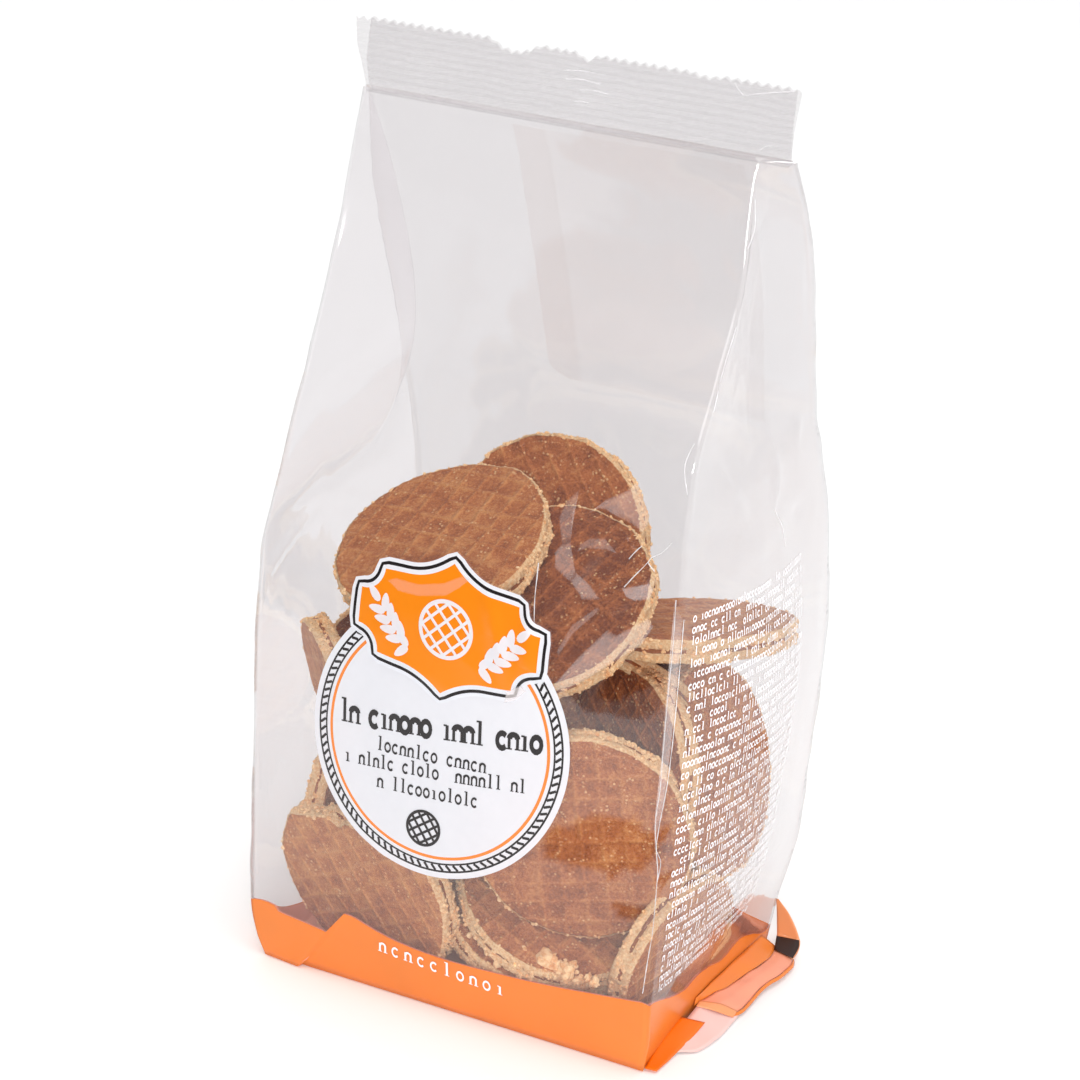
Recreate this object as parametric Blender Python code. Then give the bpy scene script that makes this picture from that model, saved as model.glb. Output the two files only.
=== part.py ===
# A sealed clear bag of small caramel waffles, standing on its folded block bottom.
# One closed solid: the filled body, the crimped top seal, the folded front corner,
# the loose flap of the base and the two rear corner ears.
# Axes: +X to the right of the front panel, +Y to the back, +Z up, origin at the base's centre.
import math

import bmesh
import bpy

MM = 0.001

# Driving dimensions, in millimetres.
BAG_WIDTH = 105.0
BASE_DEPTH = 68.0
NECK_HEIGHT = 204.5
FRONT_LAYER_TOP = 218.4
BACK_LAYER_TOP = 220.6
NECK_THICKNESS = 2.2
BASE_EDGE = 0.8

HALF_WIDTH = BAG_WIDTH / 2
HALF_DEPTH = BASE_DEPTH / 2
HALF_NECK = NECK_THICKNESS / 2

# Each vertical crease runs through (height, x, y) stations. The front left one gives way early,
# the right hand ones are pushed out by the biscuits up to the shoulder.
CREASES = {
    "front_left": [
        (0, -48.6, -35.2),
        (6, -50.8, -36.0),
        (15, -52.2, -36.4),
        (80, -52.6, -37.0),
        (104, -HALF_WIDTH, -35.2),
        (122, -HALF_WIDTH, -28.2),
        (150, -HALF_WIDTH, -15.8),
        (180, -52.2, -5.4),
        (NECK_HEIGHT, -50.8, -HALF_NECK),
    ],
    "front_right": [
        (0, 51.2, -HALF_DEPTH),
        (8, 52.4, -35.4),
        (22, 53.0, -37.6),
        (80, 53.0, -37.6),
        (128, 53.0, -37.4),
        (144, 52.8, -35.4),
        (160, 51.4, -23.6),
        (178, 49.4, -9.6),
        (191, 47.8, -4.6),
        (NECK_HEIGHT, 46.8, -HALF_NECK),
    ],
    "back_right": [
        (0, 51.0, HALF_DEPTH),
        (13, 51.6, 37.4),
        (30, 54.4, 39.4),
        (55, 56.0, 38.6),
        (85, 57.0, 38.6),
        (112, 56.0, 35.8),
        (143, 53.8, 26.8),
        (170, 53.2, 21.2),
        (190, 53.2, 13.6),
        (NECK_HEIGHT, 54.6, HALF_NECK),
    ],
    "back_left": [
        (0, -51.0, HALF_DEPTH),
        (15, -52.4, 37.0),
        (55, -54.0, 38.6),
        (95, -53.6, 37.0),
        (140, -52.8, 24.0),
        (180, -52.2, 8.0),
        (NECK_HEIGHT, -50.8, HALF_NECK),
    ],
}

# How far the middle of each panel swells past the straight line between its creases,
# as (height, swell). The sides draw in between the lower and upper folds of the gusset.
PANEL_SWELL = {
    "front": [(0, 0.0), (12, 1.6), (60, 5.4), (100, 5.0), (140, 3.4), (180, 1.2), (NECK_HEIGHT, 0.0)],
    "right": [(0, -1.6), (12, -0.4), (45, 4.4), (85, 6.4), (118, 4.6), (150, 1.0), (NECK_HEIGHT, 0.0)],
    "back": [(0, 0.0), (12, 1.4), (60, 4.6), (100, 4.2), (140, 2.6), (180, 1.0), (NECK_HEIGHT, 0.0)],
    "left": [(0, 0.0), (14, 0.8), (55, 3.4), (90, 3.2), (130, 0.6), (160, 0.0), (NECK_HEIGHT, 0.0)],
}
PANEL_SEGMENTS = {"front": 14, "right": 8, "back": 14, "left": 8}
SWELL_LEAN = 0.25

# The gusset folds inwards as a V between its foot and the neck.
GUSSET_FOOT = {"right": 136.0, "left": 108.0}
GUSSET_DEPTH = {"right": 7.0, "left": 19.0}

BODY_LEVELS = [0, BASE_EDGE, 4, 8, 12, 16, 22, 30, 40, 50, 60, 70, 80, 90, 100, 108, 116, 124, 132,
               140, 148, 156, 164, 172, 180, 188, 195, 200, NECK_HEIGHT]

# Top seal: the front film stops lower and reaches further out than the back film.
CRIMP_START = 205.6
CRIMP_PITCH = 1.5
CRIMP_COUNT = 8
CRIMP_DEPTH = 0.25
LAYER_THICKNESS = 0.8
LAYER_OVERLAP = 0.15
SEAL_ROOT = NECK_HEIGHT - 1.0
FRONT_LAYER_ENDS = [(SEAL_ROOT, -50.0, 53.8), (210, -52.2, 54.0), (213, -53.2, 54.4), (218.4, -53.6, 55.0)]
BACK_LAYER_ENDS = [(SEAL_ROOT, -49.8, 53.6), (210, -51.0, 53.4), (220.6, -49.8, 53.8)]
TOOTH_PITCH = 2.4
TOOTH_HEIGHT = 0.9
# Where the cut edge dips: (x, depth, half length).
EDGE_DIPS = [(-13.5, 2.1, 6.0), (4.4, 1.2, 2.4), (33.0, 0.5, 3.6)]

# The front left corner is folded over along a slanting pleat, as a raised patch of film.
PLEAT_FOOT = (-39.0, 0.0)
PLEAT_HEAD = (-12.0, 40.0)
PLEAT_RISE = 1.5
PLEAT_SINK = 2.2
PLEAT_ROWS = 8
PLEAT_COLUMNS = 4

# The base's loose flap lies on the floor beside the right hand wall: outer edge as (y, x).
FLAP_OUTER = [(-33.2, 51.6), (-30.0, 53.6), (-22.5, 54.0), (-19.0, 57.2), (-10.0, 60.0), (-2.0, 59.0),
              (4.0, 60.2), (12.0, 58.6), (18.0, 57.8), (28.0, 59.4), (36.0, 58.6), (38.4, 57.4)]
FLAP_INNER_X = 46.0
FLAP_EDGE_HEIGHT = 1.0
FLAP_ROOT_HEIGHT = 4.6
FLAP_STEPS = 24

# A rear corner ear stands out from the back panel: outline as (distance past the crease, height).
EAR_OUTLINE = [(-5.0, 0.2), (5.4, 0.2), (7.6, 2.4), (7.2, 4.6), (5.2, 7.4), (2.6, 11.4), (0.0, 13.6), (-5.0, 14.6)]
EAR_THICKNESS = 1.6
EAR_FRONT_Y = 36.4


def clear_scene():
    for scene_object in list(bpy.data.objects):
        bpy.data.objects.remove(scene_object, do_unlink=True)


def new_collection(name):
    collection = bpy.data.collections.new(name)
    bpy.context.scene.collection.children.link(collection)
    return collection


def film_material():
    # Clear polypropylene film over pale biscuit, seen as one light warm grey.
    material = bpy.data.materials.new("clear_film")
    material.use_nodes = True
    shader = material.node_tree.nodes["Principled BSDF"]
    shader.inputs["Base Color"].default_value = (0.76, 0.72, 0.68, 1.0)
    shader.inputs["Roughness"].default_value = 0.22
    shader.inputs["Metallic"].default_value = 0.0
    material.diffuse_color = (0.76, 0.72, 0.68, 1.0)
    return material


def smooth_curve(stations, at):
    """Monotone cubic through (position, value...) stations, so it never overshoots them."""
    if at <= stations[0][0]:
        return list(stations[0][1:])
    if at >= stations[-1][0]:
        return list(stations[-1][1:])
    last = len(stations) - 1
    k = max(i for i in range(last) if stations[i][0] <= at)
    width = stations[k + 1][0] - stations[k][0]
    t = (at - stations[k][0]) / width
    values = []
    for column in range(1, len(stations[0])):
        slopes = []
        for i in (k, k + 1):
            before = secant(stations, i - 1, column) if i > 0 else secant(stations, 0, column)
            after = secant(stations, i, column) if i < last else secant(stations, last - 1, column)
            slopes.append(0.0 if before * after <= 0 else 2 * before * after / (before + after))
        start = stations[k][column]
        end = stations[k + 1][column]
        value = (2 * t ** 3 - 3 * t ** 2 + 1) * start + (3 * t ** 2 - 2 * t ** 3) * end
        value += width * ((t ** 3 - 2 * t ** 2 + t) * slopes[0] + (t ** 3 - t ** 2) * slopes[1])
        values.append(value)
    return values


def secant(stations, i, column):
    return (stations[i + 1][column] - stations[i][column]) / (stations[i + 1][0] - stations[i][0])


def broken_line(stations, at):
    """Straight runs through (position, value...) stations."""
    for low, high in zip(stations, stations[1:]):
        if at <= high[0]:
            t = max(0.0, (at - low[0]) / (high[0] - low[0]))
            return [a + (b - a) * t for a, b in zip(low[1:], high[1:])]
    return list(stations[-1][1:])


def gusset_draw(side, height):
    foot = GUSSET_FOOT[side]
    if height <= foot:
        return 0.0
    t = (height - foot) / (NECK_HEIGHT - foot)
    return GUSSET_DEPTH[side] * math.sin(math.pi * t) ** 0.8 * (1 - 0.35 * t)


def panel_point(side, height, t):
    """A point of one panel; t runs from -1 to 1 anticlockwise seen from above."""
    start_name, end_name, outward = {
        "front": ("front_left", "front_right", (0, -1)),
        "right": ("front_right", "back_right", (1, 0)),
        "back": ("back_right", "back_left", (0, 1)),
        "left": ("back_left", "front_left", (-1, 0)),
    }[side]
    start = smooth_curve(CREASES[start_name], height)
    end = smooth_curve(CREASES[end_name], height)
    share = (t + 1) / 2
    swell = smooth_curve(PANEL_SWELL[side], height)[0] * (1 - t * t)
    if side == "right":
        swell *= 1 - SWELL_LEAN * t
    if side in GUSSET_DEPTH:
        swell -= gusset_draw(side, height) * (1 - abs(t))
    x = start[0] + (end[0] - start[0]) * share + outward[0] * swell
    y = start[1] + (end[1] - start[1]) * share + outward[1] * swell
    return x, y


def body_ring(height):
    ring = []
    for side, count in PANEL_SEGMENTS.items():
        for i in range(count):
            ring.append(panel_point(side, height, -1 + 2 * i / count))
    if height == 0:
        ring = [(x - math.copysign(BASE_EDGE / 2, x), y - math.copysign(BASE_EDGE / 2, y)) for x, y in ring]
    return [(x, y, height) for x, y in ring]


def mesh_object(name, collection, vertices, faces):
    mesh = bpy.data.meshes.new(name)
    mesh.from_pydata([(x * MM, y * MM, z * MM) for x, y, z in vertices], [], faces)
    mesh.update()
    faced = bmesh.new()
    faced.from_mesh(mesh)
    bmesh.ops.recalc_face_normals(faced, faces=faced.faces)
    faced.to_mesh(mesh)
    faced.free()
    made = bpy.data.objects.new(name, mesh)
    collection.objects.link(made)
    return made


def loft(name, collection, rings):
    """Closed skin over equal rings, with a flat cap at each end."""
    count = len(rings[0])
    vertices = [point for ring in rings for point in ring]
    faces = [tuple(reversed(range(count)))]
    faces.append(tuple(range((len(rings) - 1) * count, len(rings) * count)))
    for level in range(len(rings) - 1):
        for i in range(count):
            j = (i + 1) % count
            a = level * count
            b = a + count
            faces.append((a + i, a + j, b + j, b + i))
    return mesh_object(name, collection, vertices, faces)


def extrude_outline(name, collection, outline, low, high):
    """Plate whose outline is (u, v) points; low and high place a point on its two faces."""
    count = len(outline)
    vertices = [low(u, v) for u, v in outline] + [high(u, v) for u, v in outline]
    faces = [tuple(range(count)), tuple(reversed(range(count, 2 * count)))]
    faces += [(i, (i + 1) % count, count + (i + 1) % count, count + i) for i in range(count)]
    return mesh_object(name, collection, vertices, faces)


def make_body(collection):
    return loft("bag", collection, [body_ring(height) for height in BODY_LEVELS])


def cut_edge(x, left, right, top):
    """Height of the serrated edge: slow dips in it, and saw teeth on it."""
    height = top
    for middle, depth, reach in EDGE_DIPS:
        offset = abs(x - middle) / reach
        if offset < 1:
            height -= depth * (1 - offset * offset)
    phase = ((x - left) / TOOTH_PITCH) % 1.0
    tooth = TOOTH_HEIGHT * (phase if phase < 0.6 else (1 - phase) * 1.5)
    near_end = min(x - left, right - x)
    return height + (tooth if near_end > 0.2 else 0.0)


def seal_layer(name, collection, ends, top, y_outer, y_inner, toothed):
    """One film layer of the seal, crimped on its outer face and flat where it meets the other."""
    heights = [SEAL_ROOT, CRIMP_START]
    offsets = [0.0, 0.0]
    for i in range(2 * CRIMP_COUNT):
        heights.append(CRIMP_START + (i + 1) * CRIMP_PITCH / 2)
        offsets.append(CRIMP_DEPTH if i % 2 == 0 else 0.0)
    outline_left = [(z, broken_line(ends, z)[0], dy) for z, dy in zip(heights, offsets)]
    outline_right = [(z, broken_line(ends, z)[1], dy) for z, dy in zip(heights, offsets)]
    left_top, right_top = broken_line(ends, top)
    edge = [(left_top, top), (right_top, top)]
    if toothed:
        steps = int((right_top - left_top) / (TOOTH_PITCH / 4))
        edge = []
        for i in range(steps + 1):
            x = left_top + (right_top - left_top) * i / steps
            edge.append((x, cut_edge(x, left_top, right_top, top)))
    vertices = []
    for side_y, crimped in ((y_outer, 1), (y_inner, 0)):
        vertices += [(x, side_y - dy * crimped, z) for z, x, dy in outline_left]
        vertices += [(x, side_y - dy * crimped, z) for z, x, dy in outline_right]
        vertices += [(x, side_y, z) for x, z in edge]
    rows = len(heights)
    half = 2 * rows + len(edge)
    faces = []
    for base in (0, half):
        for row in range(rows - 1):
            faces.append((base + row, base + row + 1, base + rows + row + 1, base + rows + row))
        top_row = [base + 2 * rows + i for i in range(len(edge))]
        faces.append(tuple([base + rows - 1] + top_row + [base + 2 * rows - 1]))
    rim = list(range(rows)) + [2 * rows + i for i in range(len(edge))] + list(range(2 * rows - 1, rows - 1, -1))
    for a, b in zip(rim, rim[1:] + rim[:1]):
        faces.append((a, b, half + b, half + a))
    return mesh_object(name, collection, vertices, faces)


def make_seal(collection):
    front = seal_layer("seal_front_layer", collection, FRONT_LAYER_ENDS, FRONT_LAYER_TOP,
                       -LAYER_THICKNESS, LAYER_OVERLAP, False)
    back = seal_layer("seal_back_layer", collection, BACK_LAYER_ENDS, BACK_LAYER_TOP,
                      LAYER_THICKNESS, -LAYER_OVERLAP, True)
    return [front, back]


def make_pleat(collection):
    """Raised patch from the slanting pleat round to the front left crease, fading upwards."""
    rings = []
    for row in range(PLEAT_ROWS + 1):
        share = row / PLEAT_ROWS
        height = PLEAT_FOOT[1] + (PLEAT_HEAD[1] - PLEAT_FOOT[1]) * share
        pleat_x = PLEAT_FOOT[0] + (PLEAT_HEAD[0] - PLEAT_FOOT[0]) * share
        crease_x = smooth_curve(CREASES["front_left"], height)[0]
        outer = []
        inner = []
        for column in range(PLEAT_COLUMNS + 1):
            x = crease_x + (pleat_x - crease_x) * column / PLEAT_COLUMNS
            surface_y = front_surface_y(x, height)
            rise = PLEAT_RISE * (1 - share) ** 0.7 * (0.35 + 0.65 * column / PLEAT_COLUMNS)
            outer.append((x, surface_y - rise - 0.05, height))
            inner.append((x + 0.4, surface_y + PLEAT_SINK, height))
        rings.append(outer + inner[::-1])
    return loft("corner_pleat", collection, rings)


def front_surface_y(x, height):
    left = smooth_curve(CREASES["front_left"], height)[0]
    right = smooth_curve(CREASES["front_right"], height)[0]
    t = 2 * (x - left) / (right - left) - 1
    return panel_point("front", height, t)[1]


def make_flap(collection):
    """Loose fold of the base film: thin at its wavy outer edge, thicker against the wall."""
    first_y = FLAP_OUTER[0][0]
    last_y = FLAP_OUTER[-1][0]
    rings = []
    for i in range(FLAP_STEPS + 1):
        y = first_y + (last_y - first_y) * i / FLAP_STEPS
        outer_x = broken_line(FLAP_OUTER, y)[0]
        root = FLAP_ROOT_HEIGHT * math.sin(math.pi * (0.12 + 0.76 * i / FLAP_STEPS)) + 0.8
        rings.append([(FLAP_INNER_X, y, 0.0), (outer_x, y, 0.0), (outer_x, y, FLAP_EDGE_HEIGHT),
                      (FLAP_INNER_X + 4.5, y, root), (FLAP_INNER_X, y, root)])
    return loft("base_flap", collection, rings)


def make_ear(name, collection, hand):
    """Rear corner ear: a thin plate in the plane of the back panel, outwards on one hand."""
    crease = CREASES["back_right" if hand > 0 else "back_left"]
    crease_x = hand * abs(crease[0][1])

    def face(y):
        return lambda u, v: (crease_x + hand * u, y, v)

    return extrude_outline(name, collection, EAR_OUTLINE, face(EAR_FRONT_Y), face(EAR_FRONT_Y + EAR_THICKNESS))


def unite(target, pieces):
    for piece in pieces:
        piece.hide_render = True
        piece.display_type = "WIRE"
        union = target.modifiers.new("join_" + piece.name, "BOOLEAN")
        union.operation = "UNION"
        union.solver = "EXACT"
        union.object = piece


def main():
    clear_scene()
    bag_collection = new_collection("bag_of_small_stroopwafels")
    piece_collection = new_collection("joined_pieces")
    bag = make_body(bag_collection)
    bag.data.materials.append(film_material())
    pieces = make_seal(piece_collection)
    pieces.append(make_pleat(piece_collection))
    pieces.append(make_flap(piece_collection))
    pieces.append(make_ear("right_ear", piece_collection, 1))
    pieces.append(make_ear("left_ear", piece_collection, -1))
    unite(bag, pieces)


main()
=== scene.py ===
import math
import random

import bmesh
import bpy
from mathutils import Matrix, Vector, noise


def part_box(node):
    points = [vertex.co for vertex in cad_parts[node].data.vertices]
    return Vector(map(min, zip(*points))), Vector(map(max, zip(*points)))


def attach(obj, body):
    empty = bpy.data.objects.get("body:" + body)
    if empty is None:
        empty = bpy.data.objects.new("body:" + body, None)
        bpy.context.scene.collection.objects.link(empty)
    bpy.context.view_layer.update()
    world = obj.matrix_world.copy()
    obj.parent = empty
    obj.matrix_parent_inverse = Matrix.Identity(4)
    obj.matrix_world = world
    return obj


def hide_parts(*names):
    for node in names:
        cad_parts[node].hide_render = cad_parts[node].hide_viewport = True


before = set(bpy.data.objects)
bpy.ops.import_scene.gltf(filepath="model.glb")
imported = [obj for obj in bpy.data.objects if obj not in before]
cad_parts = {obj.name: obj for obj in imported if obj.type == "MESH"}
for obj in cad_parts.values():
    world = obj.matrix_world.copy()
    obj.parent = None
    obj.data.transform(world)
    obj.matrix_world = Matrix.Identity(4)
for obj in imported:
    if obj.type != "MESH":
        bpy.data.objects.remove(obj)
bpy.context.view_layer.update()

bagLow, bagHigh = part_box("bag")
bagTop = 221.14
mm = (bagHigh[2] - bagLow[2]) / bagTop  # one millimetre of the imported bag, in metres


def toLinear(hexColour):
    channels = [int(hexColour[i:i + 2], 16) / 255 for i in (0, 2, 4)]
    linear = [c / 12.92 if c <= 0.04045 else ((c + 0.055) / 1.055) ** 2.4 for c in channels]
    return (*linear, 1.0)


def addNode(tree, kind, values=None, links=None, **settings):
    node = tree.nodes.new(kind)
    for name, value in settings.items():
        setattr(node, name, value)
    for socket, value in (values or {}).items():
        node.inputs[socket].default_value = value
    for socket, source in (links or {}).items():
        tree.links.new(source, node.inputs[socket])
    return node


def newMaterial(name):
    material = bpy.data.materials.new(name)
    material.use_nodes = True
    material.node_tree.nodes.clear()
    return material, material.node_tree


def endMaterial(tree, shader):
    addNode(tree, "ShaderNodeOutputMaterial", links={"Surface": shader.outputs[0]})


def setStops(ramp, stops):
    elements = ramp.color_ramp.elements
    for i, (position, colour) in enumerate(stops):
        element = elements[i] if i < 2 else elements.new(position)
        element.position = position
        element.color = toLinear(colour)
    return ramp


def meshPiece(name, points, faces, materials, slots=None, smooth=True):
    # points are millimetres in the bag's own axes
    mesh = bpy.data.meshes.new(name)
    mesh.from_pydata([(x * mm, y * mm, z * mm) for x, y, z in points], [], faces)
    for material in materials:
        mesh.materials.append(material)
    if slots:
        mesh.polygons.foreach_set("material_index", slots)
    mesh.polygons.foreach_set("use_smooth", [smooth] * len(mesh.polygons))
    mesh.update()
    piece = bpy.data.objects.new(name, mesh)
    bpy.context.scene.collection.objects.link(piece)
    return piece


def pointAttribute(piece, name, values):
    attribute = piece.data.attributes.new(name, "FLOAT", "POINT")
    attribute.data.foreach_set("value", values)


def smoothStep(low, high, value):
    t = max(0.0, min(1.0, (value - low) / (high - low)))
    return t * t * (3 - 2 * t)


def brokenLine(stations, at):
    # straight runs through (position, value...) stations
    if at <= stations[0][0]:
        return list(stations[0][1:])
    for low, high in zip(stations, stations[1:]):
        if at <= high[0]:
            t = (at - low[0]) / (high[0] - low[0])
            return [a + (b - a) * t for a, b in zip(low[1:], high[1:])]
    return list(stations[-1][1:])


def smoothCurve(stations, at):
    # monotone cubic through (position, value...) stations
    if at <= stations[0][0]:
        return list(stations[0][1:])
    if at >= stations[-1][0]:
        return list(stations[-1][1:])
    last = len(stations) - 1
    k = max(i for i in range(last) if stations[i][0] <= at)
    width = stations[k + 1][0] - stations[k][0]
    t = (at - stations[k][0]) / width
    values = []
    for column in range(1, len(stations[0])):
        steps = [(stations[i + 1][column] - stations[i][column]) / (stations[i + 1][0] - stations[i][0])
                 for i in range(last)]
        slopes = []
        for i in (k, k + 1):
            before = steps[max(i - 1, 0)]
            after = steps[min(i, last - 1)]
            slopes.append(0.0 if before * after <= 0 else 2 * before * after / (before + after))
        start = stations[k][column]
        end = stations[k + 1][column]
        value = (2 * t ** 3 - 3 * t ** 2 + 1) * start + (3 * t ** 2 - 2 * t ** 3) * end
        value += width * ((t ** 3 - 2 * t ** 2 + t) * slopes[0] + (t ** 3 - t ** 2) * slopes[1])
        values.append(value)
    return values


# The bag's walls, in millimetres: four creases and the swell of the panels between them.
neckHeight = 204.5
bagShape = {
    "creases": {
        "frontLeft": [(0, -48.6, -35.2), (6, -50.8, -36), (15, -52.2, -36.4), (80, -52.6, -37), (104, -52.5, -35.2),
                      (122, -52.5, -28.2), (150, -52.5, -15.8), (180, -52.2, -5.4), (neckHeight, -50.8, -1.1)],
        "frontRight": [(0, 51.2, -34), (8, 52.4, -35.4), (22, 53, -37.6), (80, 53, -37.6), (128, 53, -37.4),
                       (144, 52.8, -35.4), (160, 51.4, -23.6), (178, 49.4, -9.6), (191, 47.8, -4.6),
                       (neckHeight, 46.8, -1.1)],
        "backRight": [(0, 51, 34), (13, 51.6, 37.4), (30, 54.4, 39.4), (55, 56, 38.6), (85, 57, 38.6),
                      (112, 56, 35.8), (143, 53.8, 26.8), (170, 53.2, 21.2), (190, 53.2, 13.6),
                      (neckHeight, 54.6, 1.1)],
        "backLeft": [(0, -51, 34), (15, -52.4, 37), (55, -54, 38.6), (95, -53.6, 37), (140, -52.8, 24),
                     (180, -52.2, 8), (neckHeight, -50.8, 1.1)],
    },
    "swell": {
        "front": [(0, 0), (12, 1.6), (60, 5.4), (100, 5), (140, 3.4), (180, 1.2), (neckHeight, 0)],
        "right": [(0, -1.6), (12, -0.4), (45, 4.4), (85, 6.4), (118, 4.6), (150, 1), (neckHeight, 0)],
        "back": [(0, 0), (12, 1.4), (60, 4.6), (100, 4.2), (140, 2.6), (180, 1), (neckHeight, 0)],
        "left": [(0, 0), (14, 0.8), (55, 3.4), (90, 3.2), (130, 0.6), (160, 0), (neckHeight, 0)],
    },
    "swellLean": 0.25,
    "gussetFoot": {"right": 136, "left": 108},
    "gussetDepth": {"right": 7, "left": 19},
    "pleatFoot": (-39, 0),
    "pleatHead": (-12, 40),
    "pleatRise": 1.5,
}
panelEnds = {
    "front": ("frontLeft", "frontRight", (0, -1)),
    "right": ("frontRight", "backRight", (1, 0)),
    "back": ("backRight", "backLeft", (0, 1)),
    "left": ("backLeft", "frontLeft", (-1, 0)),
}


# each curve is sampled every half millimetre once, and read from the samples after that
curveSamples = {name: [smoothCurve(stations, step / 2) for step in range(int(2 * neckHeight) + 1)]
                for name, stations in {**bagShape["creases"], **bagShape["swell"]}.items()}


def readCurve(name, height):
    samples = curveSamples[name]
    place = max(0.0, min(2 * height, len(samples) - 1.001))
    low = int(place)
    t = place - low
    return [a + (b - a) * t for a, b in zip(samples[low], samples[low + 1])]


def gussetDraw(side, height):
    foot = bagShape["gussetFoot"][side]
    if height <= foot or height >= neckHeight:
        return 0.0
    t = (height - foot) / (neckHeight - foot)
    return bagShape["gussetDepth"][side] * math.sin(math.pi * t) ** 0.8 * (1 - 0.35 * t)


def panelPoint(side, height, t):
    # t runs from -1 to 1, anticlockwise from above
    startName, endName, outward = panelEnds[side]
    start = readCurve(startName, height)
    end = readCurve(endName, height)
    share = (t + 1) / 2
    swell = readCurve(side, height)[0] * (1 - t * t)
    if side == "right":
        swell *= 1 - bagShape["swellLean"] * t
    if side in bagShape["gussetDepth"]:
        swell -= gussetDraw(side, height) * (1 - abs(t))
    x = start[0] + (end[0] - start[0]) * share + outward[0] * swell
    y = start[1] + (end[1] - start[1]) * share + outward[1] * swell
    return x, y


def panelShare(side, across, height):
    # the t at which a panel stands at x (front, back) or y (sides)
    startName, endName, outward = panelEnds[side]
    axis = 0 if outward[0] == 0 else 1
    start = readCurve(startName, height)[axis]
    end = readCurve(endName, height)[axis]
    return 2 * (across - start) / (end - start) - 1


# Folds pressed into the film: panel, ends as (across, height), rise and half width.
filmFolds = {
    "lines": [
        ("front", (18.5, 119), (20, 88), 0.4, 2.4),
        ("front", (8, 111), (15, 91), 0.3, 2.6),
        ("front", (40, 118), (49, 126), 0.9, 2.6),
        ("front", (36, 110), (49, 124), 0.7, 2.0),
        ("front", (29, 134), (44, 121), -0.8, 3.4),
        ("front", (24, 112), (41, 137), 0.7, 4.5),
        ("front", (22, 100), (35, 121), -0.7, 4.0),
        ("front", (44, 150), (37, 128), -0.6, 3.5),
        ("front", (-50, 128), (-30, 136), 0.4, 3.0),
        ("front", (-22, 118), (6, 124), 0.35, 3.0),
        ("right", (-24, 142), (-14, 128), 0.9, 3.0),
        ("right", (-33, 130), (-14, 127), -0.8, 3.2),
        ("right", (-2, 128), (3, 138), 1.0, 2.2),
        ("right", (14, 139), (18, 142), 1.0, 2.0),
        ("right", (3, 124), (16, 122), -0.8, 2.4),
        ("right", (-30, 118), (20, 126), 0.5, 4.0),
        ("left", (-36, 95), (0, 108), -0.8, 2.6),
        ("left", (36, 95), (0, 108), -0.8, 2.6),
    ],
    "crumple": 0.42,
    "crumpleSize": 26,
}


def segmentReach(point, start, end):
    # distance to a segment, and how far along it
    ax, ay = start
    bx, by = end
    dx, dy = bx - ax, by - ay
    t = ((point[0] - ax) * dx + (point[1] - ay) * dy) / (dx * dx + dy * dy)
    t = max(0.0, min(1.0, t))
    return math.hypot(point[0] - ax - dx * t, point[1] - ay - dy * t), t


def filmRelief(side, across, height):
    # how far the film stands out from the plain panel
    rise = 0.0
    for panel, start, end, depth, reach in filmFolds["lines"]:
        if panel != side:
            continue
        away, along = segmentReach((across, height), start, end)
        if away < reach:
            rise += depth * (1 - away / reach) * min(1.0, 4 * along * (1 - along) + 0.25)
    size = filmFolds["crumpleSize"]
    offset = {"front": 0, "right": 31, "back": 57, "left": 83}[side]
    spot = Vector((across / size + offset, height / size * 0.8, offset * 0.37))
    strength = smoothStep(6, 22, height) * (0.35 + 0.65 * smoothStep(70, 130, height))
    rise += filmFolds["crumple"] * strength * (0.5 - 2 * abs(noise.noise(spot)))
    rise += 0.22 * strength * (0.4 - 2 * abs(noise.noise(spot * 2.3 + Vector((5, 3, 1)))))
    return rise


def pleatX(height):
    foot, head = bagShape["pleatFoot"], bagShape["pleatHead"]
    return foot[0] + (head[0] - foot[0]) * height / head[1]


def pleatLift(across, height):
    # the folded corner stands proud of the front, left of the slanting pleat
    head = bagShape["pleatHead"][1]
    if height >= head or across > pleatX(height):
        return 0.0
    share = height / head
    crease = readCurve("frontLeft", height)[0]
    column = max(0.0, (across - crease) / (pleatX(height) - crease))
    return bagShape["pleatRise"] * (1 - share) ** 0.7 * (0.35 + 0.65 * column) + 0.05


def wallPoint(side, across, height, lift=0.0):
    # a point on the finished film, lifted off it along the panel's outward axis
    t = panelShare(side, across, height)
    x, y = panelPoint(side, height, t)
    outward = panelEnds[side][2]
    edge = 1 - abs(t) ** 8
    out = filmRelief(side, across, height) * edge + lift
    if side == "front":
        out += pleatLift(across, height)
    return x + outward[0] * out, y + outward[1] * out, height


print("bag shape ready")


# Materials of the pack. Oriented polypropylene film: thin, hard and glassy, so it shows as
# reflections and a slight greying, and hardly as a surface of its own.
filmLook = {"clear": 0.885, "mirror": 0.075, "roughness": 0.08, "haze": 0.03, "inkGlow": 0.1}


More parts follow.
